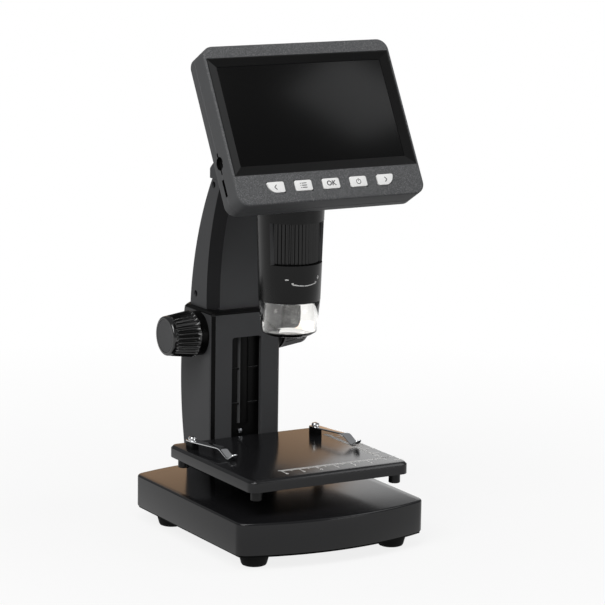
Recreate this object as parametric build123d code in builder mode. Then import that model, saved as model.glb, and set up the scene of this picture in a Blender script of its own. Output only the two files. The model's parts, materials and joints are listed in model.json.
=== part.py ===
"""Digital microscope with a tilted display head on a column stand.

Millimetres. +Z is up and -Y is the front. The origin is on the table, under
the middle of the object. The stand carries the stage and the column; a rack
carries the arm, barrel and head up and down; a ring in the barrel focuses.
"""

import os
from math import cos, pi, radians, sin, tan

from build123d import *

os.makedirs("parts", exist_ok=True)

# ---------------------------------------------------------------- clearances
FIT_GAP = 0.1        # between pieces that are fastened to each other
SLIDE_GAP = 0.35     # all round the arm in its column
SHAFT_GAP = 0.06     # radial, shaft in bush and ring on its guide tube
TURN_GAP = 0.4       # beside a piece that turns against a fixed one

# ---------------------------------------------------------------- base
FOOT_HEIGHT = 7.0
FOOT_TOP_RADIUS = 8.3
FOOT_BOTTOM_RADIUS = 6.5
FOOT_SPOTS = [(-40.5, -51.0), (40.5, -51.0), (-42.0, 36.0), (42.0, 36.0)]
BASE_WIDTH = 109.0
BASE_SIDE_LENGTH = 114.5
BASE_FRONT_Y = -60.5         # where the straight sides begin
BASE_FRONT_BOW = 10.5
BASE_BACK_BOW = 9.5
BASE_CORNER_RADIUS = 4.0
BASE_HEIGHT = 17.85
BASE_WALL = 2.4
BASE_EDGE_RADIUS = 1.0
BASE_LIP = 1.0               # bottom plate below the cover's rim
BASE_LIP_INSET = 1.2
BASE_PLATE_THICKNESS = 2.5
BASE_BOSS_RADIUS = 4.0
BASE_BOSS_INSET = 12.0       # from the cover's sides to the boss axes
BALLAST_WIDTH = 66.0
BALLAST_LENGTH = 56.0
BALLAST_THICKNESS = 8.0
BALLAST_Y = -16.0
BALLAST_CORNER_RADIUS = 3.0
FOOT_EDGE_RADIUS = 0.8
BASE_SCREW_RADIUS = 1.3
BASE_SCREW_HEAD = 2.7
BASE_SCREW_BITE = 8.0
BASE_HOLE_DEPTH = 9.0

# ---------------------------------------------------------------- column
COLUMN_FRONT_Y = 31.65
COLUMN_WIDTH = 41.5
COLUMN_WALL = 2.4
COLUMN_HEIGHT = 87.85
COLUMN_TOP_DEPTH = 35.35
COLUMN_WAIST_DEPTH = 39.35
COLUMN_WAIST_HEIGHT = 52.15  # where the column is deepest, above the base
COLUMN_FOOT_DEPTH = 32.35
COLUMN_BACK_CHAMFER = 4.0
COLUMN_FRONT_CHAMFER = 1.9
FRONT_PLATE_THICKNESS = 2.5
SLOT_WIDTH = 17.5
SLOT_TOP_DROP = 14.3         # slot top below the column top
CAP_THICKNESS = 1.6
CAP_CHAMFER = 1.2
GUIDE_RECESS = 4.45          # guide plate behind the column's front
GUIDE_THICKNESS = 2.05
GUIDE_RIB_WIDTH = 6.5
GUIDE_RIB_RECESS = 3.0
CROSS_RIB_HEIGHT = 1.8
CROSS_RIB_RECESS = 3.6
CROSS_RIB_DROPS = [32.1, 51.1]   # cross ribs below the column top
SLOT_CORNER_RADIUS = 1.5
GUIDE_RIB_RADIUS = 1.2
GUIDE_RIB_RISE = 6.0         # foot of the rib above the stage
GUIDE_SCREW_X = -2.0
GUIDE_SCREW_RISE = 2.3       # screw axis above the stage
GUIDE_SCREW_RADIUS = 1.3
GUIDE_SCREW_HEAD = 2.2
COLUMN_BOSS_INSET = 4.5      # from the column's inner side and the guide
COLUMN_BOSS_BACK_GAP = 6.0   # from the column's inner back
COLUMN_BOSS_RADIUS = 3.2
COLUMN_BOSS_HEIGHT = 14.0
COLUMN_HOLE_DEPTH = 12.0
COLUMN_SCREW_RADIUS = 1.5
COLUMN_SCREW_HEAD = 2.8
COLUMN_SCREW_BITE = 10.0
COLUMN_BACK_THICKENING = 2.0 # of the column's back wall below the well

# ---------------------------------------------------------------- stage
STAGE_WIDTH = 93.34
STAGE_DEPTH = 90.15
STAGE_THICKNESS = 6.25
STAGE_GAP = 14.0             # between the base and the stage
STAGE_CORNER_RADIUS = 4.5
STAGE_CHAMFER = 1.3
STAGE_WALL = 2.4
STAGE_FLOOR = 1.8
TONGUE_HEIGHT = 3.6
PEG_RADIUS = 3.0
PEG_LENGTH = 5.1
PEG_EDGE_RADIUS = 0.5
PEG_SPOTS = [(-40.7, -53.0), (40.7, -53.0), (-41.3, 24.0), (41.3, 24.0)]

# ---------------------------------------------------------------- clips
CLIP_PIVOTS = {"left_clip": (-39.8, 17.4), "right_clip": (33.7, 16.2)}
CLIP_ANGLE = 9.5             # swung from straight ahead towards +X, degrees
CLIP_WIDTH = 5.0
CLIP_THICKNESS = 0.6
CLIP_TAIL = 3.0
CLIP_REACH = 25.0            # pivot to bend
CLIP_DROP_LENGTH = 7.5       # bend to the point that presses
CLIP_TIP_LENGTH = 3.6
CLIP_TIP_RISE = 3.3
CLIP_TIP_GAP = 0.15
CLIP_RISE = 0.9
POST_WIDTH = 4.2
POST_LENGTH = 8.0
POST_HEIGHT = 3.85
CLIP_SCREW_RADIUS = 1.3
CLIP_HEAD_RADIUS = 2.1
CLIP_HEAD_HEIGHT = 1.8
CLIP_HEAD_CHAMFER = 0.5
CLIP_SEAT_GAP = 0.05
CLIP_BEND_RADIUS = 1.0
POST_CORNER_RADIUS = 1.2

# ---------------------------------------------------------------- lift
TRAVEL_UP = 32.0
TRAVEL_DOWN = 8.0
ARM_ENGAGEMENT = 7.5         # arm left below the shaft at the top of travel
KNOB_DROP = 13.2             # knob axis below the column top
SHAFT_SETBACK = 8.5          # knob axis behind the arm's front
SHAFT_RADIUS = 2.5
BUSH_RADIUS = 4.0
COLLAR_RADIUS = 11.8
COLLAR_LENGTH = 3.85
KNOB_OUTER_X = 41.0
KNOB_INNER_RADIUS = 12.6
KNOB_OUTER_RADIUS = 10.4
KNOB_EDGE_RADIUS = 1.0
KNOB_BORE_DEPTH = 11.0
KNOB_FLUTES = 30
KNOB_FLUTE_RADIUS = 0.7
KNOB_GRIP_LENGTH = 12.6
SHAFT_SLOT_GAP = 0.5         # beside the shaft in the arm's foot
DISC_RADIUS = 8.2
DISC_THICKNESS = 1.0
GEAR_MODULE = 1.0
PINION_TEETH = 10
PINION_WIDTH = 9.0
RACK_WIDTH = 10.0
TOOTH_ADDENDUM = 0.9
TOOTH_DEDENDUM = 1.25
TOOTH_THICKNESS = 1.2        # at the pitch line, thinned for easy running
TOOTH_FLANK_ANGLE = 14.0

# ---------------------------------------------------------------- arm
ARM_DEPTH = 25.8
ARM_WALL = 2.0
ARM_RISE = 70.3              # arm top above the column top
ARM_LEAN_FRONT = 15.8        # how far the front leans forward at its top
ARM_LEAN_BACK = 23.45
ARM_FRONT_CURVE_RISE = 5.3   # where the front starts to lean, above the column
ARM_BACK_CURVE_DROP = 12.7
ARM_FRONT_CHAMFER = 5.2
ARM_BACK_CHAMFER = 1.8
ARM_SCREW_RADIUS = 1.1
ARM_SCREW_HEAD = 1.7
ARM_BOSS_RADIUS = 2.9
ARM_SCREW_RECESS = 1.0
ARM_SCREW_REACH = 6.0        # screw past the arm's middle
ARM_HOLE_REACH = 10.0
ARM_SCREW_LOW_RISE = 6.2     # lower screw axis above the column top
ARM_SCREW_LOW_SETBACK = 17.4 # from the arm's front at that height
ARM_SCREW_TOP_DROP = 3.1     # upper screw axis below the arm top
ARM_SCREW_TOP_SETBACK = 12.7

# ---------------------------------------------------------------- head
HEAD_TILT = 29.5
HEAD_Y = -46.61              # display's lower window edge on the head's face
HEAD_RISE = 19.91            # that point above the arm's top
HEAD_WIDTH = 107.8
HEAD_HIGH = 64.25            # top edge, along the face
HEAD_THICKNESS = 17.0
HEAD_FRONT_DEPTH = 10.4
HEAD_CORNER_RADIUS = 6.0
HEAD_EDGE_RADIUS = 1.0
HEAD_BACK_CHAMFER = 1.8
HEAD_WALL = 2.2
HEAD_BACK_WALL = 2.0
HEAD_FACE = 2.6
FACE_SIDE = 1.2              # face beside the bevel
FACE_TOP = 6.54              # face above the bevel
BEVEL_SIDE_RUN = 5.18        # bevel's outer edge to the window
BEVEL_TOP_RUN = 4.37
BEVEL_LOW_RUN = 5.26
BEVEL_DEPTH = 1.3
BEVEL_RIM = 0.25             # flat edge round the bevel's mouth
WINDOW_LOW = -0.1
LCD_SIDE_GAP = 0.3           # panel to the head's inner side
LCD_TOP_GAP = 0.71           # panel below the bevel's top
LCD_LOW_RUN = 4.4            # panel below the window
LCD_THICKNESS = 3.0
BOARD_GAP = 4.4              # board's front behind the head's face wall
BOARD_THICKNESS = 1.6
BOARD_SIDE_GAP = 1.2
BOARD_TOP_GAP = 12.05        # board to the head's inner top
BOARD_LOW_GAP = 5.7          # board to the head's inner bottom
BOARD_TAB_LOW_GAP = 1.4
BOARD_TAB_SIDE_GAP = 4.8     # tab to the shell screws' bosses
BUTTON_DROP = 7.24           # button row below the bevel
BUTTON_ROW_RISE = 8.5        # button row above the head's bottom edge
BUTTON_PITCH = 15.85
BUTTON_WIDTH = 9.6
BUTTON_HEIGHT = 5.6
BUTTON_GAP = 0.2
BUTTON_PROUD = 0.5
BUTTON_FLANGE = 0.8
BUTTON_CUT = 3.6             # corner cut from the outer buttons
BUTTON_BULGE = 0.9           # how far the cut corner is rounded out
BUTTON_CORNER_RADIUS = 0.7
BUTTON_EDGE_RADIUS = 0.3
BUTTON_FLANGE_RIM = 0.8
BUTTON_NODES = ["button_back", "button_menu", "button_ok", "button_power", "button_next"]
SWITCH_SIZE = 3.6
SWITCH_HEIGHT = 2.4
SWITCH_STEM_RADIUS = 0.9
SWITCH_STEM_LENGTH = 0.4
STANDOFF_RADIUS = 2.4
STANDOFF_SIDE_INSET = 12.9   # from the head's side
STANDOFF_LOW_INSET = 3.2     # from the board's lower edge
STANDOFF_TOP_INSET = 6.0
SHELL_SCREW_SIDE_INSET = 6.9
SHELL_SCREW_LOW_INSET = 5.1
SHELL_SCREW_TOP_INSET = 4.65
SHELL_SCREW_RADIUS = 0.9
SHELL_SCREW_HEAD = 1.8
SHELL_SCREW_RECESS = 0.4
SHELL_SCREW_BITE = 3.0
SHELL_HOLE_DEPTH = 5.0
SHELL_BOSS_RADIUS = 2.2
BATTERY_LENGTH = 48.0
BATTERY_THICKNESS = 6.0
BATTERY_GAP = 1.6            # beside the standoffs and the head screws
BATTERY_LOW_RUN = 0.1        # battery's lower edge above the window's
CARD_SLOT_CENTRE = 5.3
CARD_SLOT_LENGTH = 11.6
CARD_SLOT_HEIGHT = 2.2
CARD_SOCKET_DEPTH = 14.0
CARD_SOCKET_HEIGHT = 2.8
CARD_SOCKET_WALL = 0.8
CARD_SOCKET_ROOF = 0.5
CARD_SOCKET_END = 2.0
USB_CENTRE = -7.5
USB_LENGTH = 9.0
USB_HEIGHT = 3.4
USB_DEPTH = 6.5
USB_SHELL = 0.6
USB_END = 1.0
USB_TONGUE_WIDTH = 5.6
USB_TONGUE_THICKNESS = 0.6
SOCKET_SETBACK = 0.2         # sockets behind the head's inner wall

# ---------------------------------------------------------------- neck
NECK_OVERHANG = 2.15         # neck's back behind the arm's top
NECK_SHOULDER = 6.6          # neck's back corner above the arm's top
NECK_SHOULDER_RADIUS = 4.0
NECK_CHAMFER = 1.8
NECK_WALL = 2.2
NECK_SCREW_SETBACK = 7.5     # behind the front of the arm's top
NECK_SCREW_X = 8.0
NECK_SCREW_RADIUS = 1.5
NECK_SCREW_HEAD = 2.3
NECK_SCREW_BITE = 3.0
NECK_BOSS_RADIUS = 3.0
NECK_BOSS_HEIGHT = 5.0       # above the neck's floor
NECK_HOLE_DEPTH = 4.0
HEAD_SCREW_X = 13.0
HEAD_SCREW_VS = [-6.0, 20.0]
HEAD_SCREW_RADIUS = 1.3
HEAD_SCREW_HEAD = 2.4
HEAD_SCREW_BITE = 1.5
HEAD_BOSS_RADIUS = 2.8
HEAD_BOSS_HEIGHT = 3.0
HEAD_HOLE_DEPTH = 2.0
CABLE_HOLE_V = 7.0
CABLE_HOLE_RADIUS = 6.0

# ---------------------------------------------------------------- barrel
BARREL_Y = -12.7
BARREL_LENGTH = 56.7
BARREL_TOP_RADIUS = 17.8
BARREL_BOTTOM_RADIUS = 16.0
BARREL_WALL = 1.5
WINDOW_TOP_RISE = 41.6       # ring window above the barrel's lower end
WINDOW_BOTTOM_RISE = 19.9
WINDOW_HALF_ANGLE = 68.0
SHELF_THICKNESS = 1.6
LOW_SHELF_BORE = 11.0
RING_RADIUS = 14.7
RING_RIBS = 45
RING_RIB_DEPTH = 0.7
RING_RIB_WIDTH = 0.9
RING_RIB_ROOT = 0.5          # rib sunk into the ring
RING_END_GAP = 0.3
GUIDE_TUBE_RADIUS = 8.8
GUIDE_TUBE_BORE = 7.2
GUIDE_TUBE_TOP_RISE = 49.7   # above the barrel's lower end
GUIDE_TUBE_LOW_RISE = 8.0
GUIDE_FLANGE_RADIUS = 13.0
GUIDE_FLANGE_THICKNESS = 1.5
LENS_CELL_RISE = 12.0
LENS_CELL_LENGTH = 20.0
LENS_CELL_WALL = 1.6
LENS_CELL_GAP = 0.08
LENS_THICKNESS = 4.0
CAMERA_BOARD_RADIUS = 13.0
CAMERA_BOARD_THICKNESS = 1.6
SENSOR_SIZE = 8.0
SENSOR_THICKNESS = 1.2
CAP_TUBE_LENGTH = 16.3
CAP_TUBE_TOP_RADIUS = 15.9
CAP_TUBE_LOW_RADIUS = 14.3
CAP_END_LENGTH = 1.7
CAP_END_RADIUS = 12.0
CAP_WALL = 1.2
CAP_SPIGOT_LENGTH = 4.0
LED_BOARD_THICKNESS = 1.6
LED_BOARD_HOLE = 7.6
LED_COUNT = 8
LED_CIRCLE = 10.0
LED_RADIUS = 1.5
LED_HEIGHT = 1.2
BARREL_SCREW_CIRCLE = 13.5
BARREL_SCREW_RADIUS = 1.0
BARREL_SCREW_HEAD = 1.8
BARREL_SCREW_BITE = 3.0
SCREW_HEAD_HEIGHT = 1.4
SMALL_HEAD_HEIGHT = 1.2

# ---------------------------------------------------------------- worked out
BASE_BACK_Y = BASE_FRONT_Y + BASE_SIDE_LENGTH
BASE_TOP_Z = FOOT_HEIGHT + BASE_HEIGHT
STAGE_LOW_Z = BASE_TOP_Z + STAGE_GAP
STAGE_TOP_Z = STAGE_LOW_Z + STAGE_THICKNESS
COLUMN_TOP_Z = BASE_TOP_Z + COLUMN_HEIGHT
COLUMN_BODY_TOP_Z = COLUMN_TOP_Z - CAP_THICKNESS
PLATE_BACK_Y = COLUMN_FRONT_Y + FRONT_PLATE_THICKNESS
GUIDE_FRONT_Y = COLUMN_FRONT_Y + GUIDE_RECESS
GUIDE_BACK_Y = GUIDE_FRONT_Y + GUIDE_THICKNESS
ARM_FRONT_Y = GUIDE_BACK_Y + SLIDE_GAP
ARM_BACK_Y = ARM_FRONT_Y + ARM_DEPTH
COLUMN_INNER_HALF = COLUMN_WIDTH / 2 - COLUMN_WALL
ARM_HALF = COLUMN_INNER_HALF - SLIDE_GAP
KNOB_Y = ARM_FRONT_Y + SHAFT_SETBACK
KNOB_Z = COLUMN_TOP_Z - KNOB_DROP
ARM_BOTTOM_Z = KNOB_Z - TRAVEL_UP - ARM_ENGAGEMENT
SHAFT_SLOT_TOP_Z = KNOB_Z + TRAVEL_DOWN + 2 * SHAFT_RADIUS
WELL_BOTTOM_Z = ARM_BOTTOM_Z - TRAVEL_DOWN - CAP_THICKNESS
ARM_TOP_Z = COLUMN_TOP_Z + ARM_RISE
COLLAR_END_X = COLUMN_WIDTH / 2 + COLLAR_LENGTH
KNOB_INNER_X = COLLAR_END_X + TURN_GAP
CORNER_EASE = 2 - 2**0.5     # how much a chamfer shrinks per inset
PITCH_RADIUS = GEAR_MODULE * PINION_TEETH / 2
TOOTH_PITCH = pi * GEAR_MODULE
TILT_SIN = sin(radians(HEAD_TILT))
TILT_COS = cos(radians(HEAD_TILT))
HEAD_Z = ARM_TOP_Z + HEAD_RISE
BARREL_LOW_Z = ARM_TOP_Z - BARREL_LENGTH
BOARD_FRONT_W = HEAD_FACE + BOARD_GAP
BOARD_BACK_W = BOARD_FRONT_W + BOARD_THICKNESS
HEAD_INNER_BACK_W = HEAD_THICKNESS - HEAD_BACK_WALL
NECK_BACK_Y = ARM_BACK_Y - ARM_LEAN_BACK + NECK_OVERHANG
NECK_SCREW_Y = ARM_FRONT_Y - ARM_LEAN_FRONT + NECK_SCREW_SETBACK
HEAD_HALF = HEAD_WIDTH / 2
HEAD_INNER_HALF = HEAD_HALF - HEAD_WALL
BEVEL_WIDTH = HEAD_WIDTH - 2 * FACE_SIDE
BEVEL_HIGH = HEAD_HIGH - FACE_TOP
BEVEL_LOW = WINDOW_LOW - BEVEL_LOW_RUN
WINDOW_WIDTH = BEVEL_WIDTH - 2 * BEVEL_SIDE_RUN
WINDOW_HIGH = BEVEL_HIGH - BEVEL_TOP_RUN
BUTTON_V = BEVEL_LOW - BUTTON_DROP
HEAD_LOW = BUTTON_V - BUTTON_ROW_RISE
LCD_WIDTH = 2 * (HEAD_INNER_HALF - LCD_SIDE_GAP)
LCD_LOW = WINDOW_LOW - LCD_LOW_RUN
LCD_HIGH = BEVEL_HIGH - LCD_TOP_GAP
HEAD_SCREW_SPOTS = [(side * HEAD_SCREW_X, v) for v in HEAD_SCREW_VS for side in (-1, 1)]
SHELL_SCREW_X = HEAD_HALF - SHELL_SCREW_SIDE_INSET
SHELL_SCREW_SPOTS = [
    (side * SHELL_SCREW_X, v)
    for v in (HEAD_LOW + SHELL_SCREW_LOW_INSET, HEAD_HIGH - SHELL_SCREW_TOP_INSET)
    for side in (-1, 1)
]
BOARD_WIDTH = 2 * (HEAD_INNER_HALF - BOARD_SIDE_GAP)
BOARD_LOW = HEAD_LOW + HEAD_WALL + BOARD_LOW_GAP
BOARD_HIGH = HEAD_HIGH - HEAD_WALL - BOARD_TOP_GAP
BOARD_TAB_WIDTH = 2 * (SHELL_SCREW_X - SHELL_BOSS_RADIUS - BOARD_TAB_SIDE_GAP)
BOARD_TAB_LOW = HEAD_LOW + HEAD_WALL + BOARD_TAB_LOW_GAP
STANDOFF_X = HEAD_HALF - STANDOFF_SIDE_INSET
STANDOFF_SPOTS = [
    (side * STANDOFF_X, v)
    for v in (BOARD_LOW + STANDOFF_LOW_INSET, BOARD_HIGH - STANDOFF_TOP_INSET)
    for side in (-1, 1)
]
BATTERY_WIDTH = (
    STANDOFF_X - STANDOFF_RADIUS - HEAD_SCREW_X - HEAD_SCREW_HEAD - 2 * BATTERY_GAP
)
BATTERY_X = STANDOFF_X - STANDOFF_RADIUS - BATTERY_GAP - BATTERY_WIDTH / 2
BATTERY_LOW = WINDOW_LOW + BATTERY_LOW_RUN

HEAD_PLANE = Plane(origin=(0, HEAD_Y, HEAD_Z), x_dir=(1, 0, 0), z_dir=(0, -TILT_COS, TILT_SIN))
FACE_AXIS = Axis(HEAD_PLANE.origin, HEAD_PLANE.z_dir)


def post(plane, spots, radius, length, mode=Mode.ADD):
    """Extrude a round post, or a hole, from each spot of the plane."""
    with BuildSketch(plane) as section:
        with Locations(*spots):
            Circle(radius)
    extrude(section.sketch, amount=length, mode=mode)


def block(plane, low, high, length, mode=Mode.ADD):
    """Extrude a rectangle, given by two corners on the plane."""
    with BuildSketch(plane) as section:
        with Locations(((low[0] + high[0]) / 2, (low[1] + high[1]) / 2)):
            Rectangle(high[0] - low[0], high[1] - low[1])
    extrude(section.sketch, amount=length, mode=mode)


def screw(plane, spots, head_radius, head_height, shank_radius, shank_length, way=1):
    """Pan head screws: the head starts on the plane, the shank goes on from it.

    A way of -1 drives them against the plane's normal.
    """
    post(plane, spots, head_radius, way * head_height)
    post(plane, spots, shank_radius, way * (head_height + shank_length))


def base_outline(inset):
    """Bowed outline of the base, drawn in from its outer edge."""
    half = BASE_WIDTH / 2
    with BuildSketch() as outline:
        with BuildLine():
            ThreePointArc(
                (-half, BASE_FRONT_Y), (0, BASE_FRONT_Y - BASE_FRONT_BOW), (half, BASE_FRONT_Y)
            )
            Line((half, BASE_FRONT_Y), (half, BASE_BACK_Y))
            ThreePointArc(
                (half, BASE_BACK_Y), (0, BASE_BACK_Y + BASE_BACK_BOW), (-half, BASE_BACK_Y)
            )
            Line((-half, BASE_BACK_Y), (-half, BASE_FRONT_Y))
        make_face()
        fillet(outline.vertices(), BASE_CORNER_RADIUS)
        if inset > 0:
            offset(amount=-inset, mode=Mode.REPLACE)
    return outline.sketch


def arm_section(grow):
    """Section of the arm where it slides, drawn out by grow on every side."""
    with BuildSketch() as section:
        with Locations((0, (ARM_FRONT_Y + ARM_BACK_Y) / 2)):
            Rectangle(2 * ARM_HALF, ARM_DEPTH)
        chamfer(section.vertices().group_by(Axis.Y)[0], ARM_FRONT_CHAMFER)
        chamfer(section.vertices().group_by(Axis.Y)[-1], ARM_BACK_CHAMFER)
        if grow != 0:
            offset(amount=grow, kind=Kind.INTERSECTION, mode=Mode.REPLACE)
    return section.sketch


def arm_form(inset):
    """Whole arm as a block, drawn in by inset, from its foot to its top."""
    front = ARM_FRONT_Y + inset
    back = ARM_BACK_Y - inset
    top_front = front - ARM_LEAN_FRONT
    top_back = back - ARM_LEAN_BACK
    low = ARM_BOTTOM_Z - (1.0 if inset > 0 else 0.0)
    top = ARM_TOP_Z - inset
    front_curve = COLUMN_TOP_Z + ARM_FRONT_CURVE_RISE
    back_curve = COLUMN_TOP_Z - ARM_BACK_CURVE_DROP
    ease = inset * CORNER_EASE
    with BuildPart() as form:
        with BuildSketch(Plane.YZ) as profile:
            with BuildLine():
                Line((front, low), (front, front_curve))
                TangentArc((front, front_curve), (top_front, top), tangent=(0, 1))
                Line((top_front, top), (top_back, top))
                TangentArc((back, back_curve), (top_back, top), tangent=(0, 1))
                Line((back, back_curve), (back, low))
                Line((back, low), (front, low))
            make_face()
        extrude(profile.sketch, amount=ARM_HALF - inset, both=True)
        sides = form.edges().filter_by(lambda edge: abs(edge.tangent_at(0.5).X) < 0.01)
        middle = (front + back) / 2
        walls = sides.filter_by(lambda edge: abs(edge.tangent_at(0.5).Z) > 0.5)
        front_edges = walls.filter_by(lambda edge: edge.center().Y < edge_divide(edge, middle))
        chamfer(front_edges, ARM_FRONT_CHAMFER - ease)
        sides = form.edges().filter_by(lambda edge: abs(edge.tangent_at(0.5).X) < 0.01)
        walls = sides.filter_by(lambda edge: abs(edge.tangent_at(0.5).Z) > 0.5)
        outer = walls.filter_by(lambda edge: abs(abs(edge.center().X) - ARM_HALF + inset) < 0.01)
        back_edges = outer.filter_by(lambda edge: edge.center().Y > edge_divide(edge, middle))
        chamfer(back_edges, ARM_BACK_CHAMFER - ease)
    return form.part


def edge_divide(edge, middle):
    """Y between the arm's front and back at the height of an edge's middle."""
    height = edge.center().Z
    rise = max(0.0, height - COLUMN_TOP_Z)
    lean = (ARM_LEAN_FRONT + ARM_LEAN_BACK) / 2 * (rise / ARM_RISE) ** 2
    return middle - lean


def head_point(along, depth):
    """Y and Z of a point given along the head's face and behind it."""
    y = HEAD_Y + along * TILT_SIN + depth * TILT_COS
    z = HEAD_Z + along * TILT_COS - depth * TILT_SIN
    return y, z


def neck_form(inset):
    """Neck block from the arm's top forward to the head's back."""
    shoulder_z = ARM_TOP_Z + NECK_SHOULDER
    rise = (shoulder_z - HEAD_Z) * TILT_COS + (NECK_BACK_Y - HEAD_Y) * TILT_SIN
    top = head_point(rise - inset, HEAD_THICKNESS + inset)
    floor_z = ARM_TOP_Z + inset
    low_along = (floor_z - HEAD_Z + (HEAD_THICKNESS + inset) * TILT_SIN) / TILT_COS
    low = head_point(low_along, HEAD_THICKNESS + inset)
    back_y = NECK_BACK_Y - inset
    shoulder = shoulder_z - inset * (1 + TILT_SIN) / TILT_COS + inset * TILT_SIN / TILT_COS
    with BuildPart() as form:
        with BuildSketch(Plane.YZ) as profile:
            with BuildLine():
                Polyline((back_y, floor_z), (back_y, shoulder), top, low, close=True)
            make_face()
            corner = profile.vertices().sort_by(Axis.X)[-2:].sort_by(Axis.Y)[-1]
            fillet(corner, NECK_SHOULDER_RADIUS - inset)
        extrude(profile.sketch, amount=ARM_HALF - inset, both=True)
        sides = form.edges().filter_by(lambda edge: abs(edge.tangent_at(0.5).X) < 0.01)
        rim = sides.filter_by(lambda edge: edge.center().Z > ARM_TOP_Z + inset + 0.01)
        rim = rim.filter_by(lambda edge: abs(edge.tangent_at(0.5).dot(HEAD_PLANE.y_dir)) < 0.99)
        chamfer(rim, NECK_CHAMFER - inset * CORNER_EASE)
    return form.part


def barrel_radius(rise):
    """Outer radius of the barrel at a height above its lower end."""
    return BARREL_BOTTOM_RADIUS + (BARREL_TOP_RADIUS - BARREL_BOTTOM_RADIUS) * rise / BARREL_LENGTH


def turned(points):
    """Ring turned about the barrel's axis from radius and rise points."""
    with BuildSketch(Plane.XZ) as profile:
        with BuildLine():
            Polyline(*[(radius, BARREL_LOW_Z + rise) for radius, rise in points], close=True)
        make_face()
    spun = revolve(profile.sketch, axis=Axis.Z, mode=Mode.PRIVATE)
    return spun.moved(Location((0, BARREL_Y, 0)))


# ================================================================ base
BASE_OUTLINE = base_outline(0)
BASE_CAVITY = base_outline(BASE_WALL)
BASE_LIP_OUTLINE = base_outline(BASE_LIP_INSET)
BASE_PLATE_OUTLINE = base_outline(BASE_WALL + FIT_GAP)
COVER_LOW_Z = FOOT_HEIGHT + BASE_LIP
PLATE_TOP_Z = FOOT_HEIGHT + BASE_PLATE_THICKNESS
ROOF_LOW_Z = BASE_TOP_Z - BASE_WALL
BOSS_X = BASE_WIDTH / 2 - BASE_BOSS_INSET
BASE_BOSSES = [
    (side * BOSS_X, y)
    for side in (-1, 1)
    for y in (BASE_FRONT_Y + 2 * BASE_BOSS_INSET, BASE_BACK_Y - BASE_BOSS_INSET / 2)
]
COLUMN_BOSS_X = COLUMN_INNER_HALF - COLUMN_BOSS_INSET
COLUMN_BOSSES = [
    (side * COLUMN_BOSS_X, y)
    for side in (-1, 1)
    for y in (
        GUIDE_BACK_Y + COLUMN_BOSS_INSET,
        COLUMN_FRONT_Y + COLUMN_FOOT_DEPTH - COLUMN_WALL - COLUMN_BOSS_BACK_GAP,
    )
]

with BuildPart() as base_cover:
    with BuildSketch(Plane.XY.offset(COVER_LOW_Z)):
        add(BASE_OUTLINE)
    extrude(amount=BASE_HEIGHT - BASE_LIP)
    fillet(base_cover.edges().group_by(Axis.Z)[-1], BASE_EDGE_RADIUS)
    with BuildSketch(Plane.XY.offset(COVER_LOW_Z)):
        add(BASE_CAVITY)
    extrude(amount=ROOF_LOW_Z - COVER_LOW_Z, mode=Mode.SUBTRACT)
    post(Plane.XY.offset(PLATE_TOP_Z), BASE_BOSSES, BASE_BOSS_RADIUS, ROOF_LOW_Z - PLATE_TOP_Z)
    post(Plane.XY.offset(PLATE_TOP_Z), BASE_BOSSES, BASE_SCREW_RADIUS, BASE_HOLE_DEPTH,
         Mode.SUBTRACT)
    post(Plane.XY.offset(ROOF_LOW_Z), COLUMN_BOSSES, COLUMN_SCREW_RADIUS, BASE_WALL,
         Mode.SUBTRACT)
base_cover.part.label = "base_cover"
export_step(base_cover.part, "parts/base_cover.step")

with BuildPart() as base_bottom_plate:
    with BuildSketch(Plane.XY.offset(FOOT_HEIGHT)):
        add(BASE_LIP_OUTLINE)
    extrude(amount=BASE_LIP)
    with BuildSketch(Plane.XY.offset(FOOT_HEIGHT)):
        add(BASE_PLATE_OUTLINE)
    extrude(amount=BASE_PLATE_THICKNESS)
    post(Plane.XY.offset(FOOT_HEIGHT), BASE_BOSSES, BASE_SCREW_HEAD + FIT_GAP,
         SCREW_HEAD_HEIGHT, Mode.SUBTRACT)
    post(Plane.XY.offset(FOOT_HEIGHT), BASE_BOSSES, BASE_SCREW_RADIUS, BASE_PLATE_THICKNESS,
         Mode.SUBTRACT)
base_bottom_plate.part.label = "base_bottom_plate"
export_step(base_bottom_plate.part, "parts/base_bottom_plate.step")

with BuildPart() as base_screws:
    screw(
        Plane.XY.offset(FOOT_HEIGHT), BASE_BOSSES, BASE_SCREW_HEAD, SCREW_HEAD_HEIGHT,
        BASE_SCREW_RADIUS, BASE_PLATE_THICKNESS - SCREW_HEAD_HEIGHT + BASE_SCREW_BITE,
    )
base_screws.part.label = "base_screws"
export_step(base_screws.part, "parts/base_screws.step")

with BuildPart() as ballast_weight:
    with BuildSketch(Plane.XY.offset(PLATE_TOP_Z)):
        with Locations((0, BALLAST_Y)):
            RectangleRounded(BALLAST_WIDTH, BALLAST_LENGTH, BALLAST_CORNER_RADIUS)
    extrude(amount=BALLAST_THICKNESS)
ballast_weight.part.label = "ballast_weight"
export_step(ballast_weight.part, "parts/ballast_weight.step")

with BuildPart() as rubber_feet:
    with Locations(*[(x, y, FOOT_HEIGHT / 2) for x, y in FOOT_SPOTS]):
        Cone(FOOT_BOTTOM_RADIUS, FOOT_TOP_RADIUS, FOOT_HEIGHT)
    fillet(rubber_feet.edges().group_by(Axis.Z)[0], FOOT_EDGE_RADIUS)
rubber_feet.part.label = "rubber_feet"
export_step(rubber_feet.part, "parts/rubber_feet.step")

# ================================================================ column
WELL_SECTION_GROW = SLIDE_GAP
COLUMN_BACK_TOP = (COLUMN_FRONT_Y + COLUMN_TOP_DEPTH, COLUMN_TOP_Z)
COLUMN_BACK_WAIST = (COLUMN_FRONT_Y + COLUMN_WAIST_DEPTH, BASE_TOP_Z + COLUMN_WAIST_HEIGHT)
COLUMN_BACK_FOOT = (COLUMN_FRONT_Y + COLUMN_FOOT_DEPTH, BASE_TOP_Z)

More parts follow.
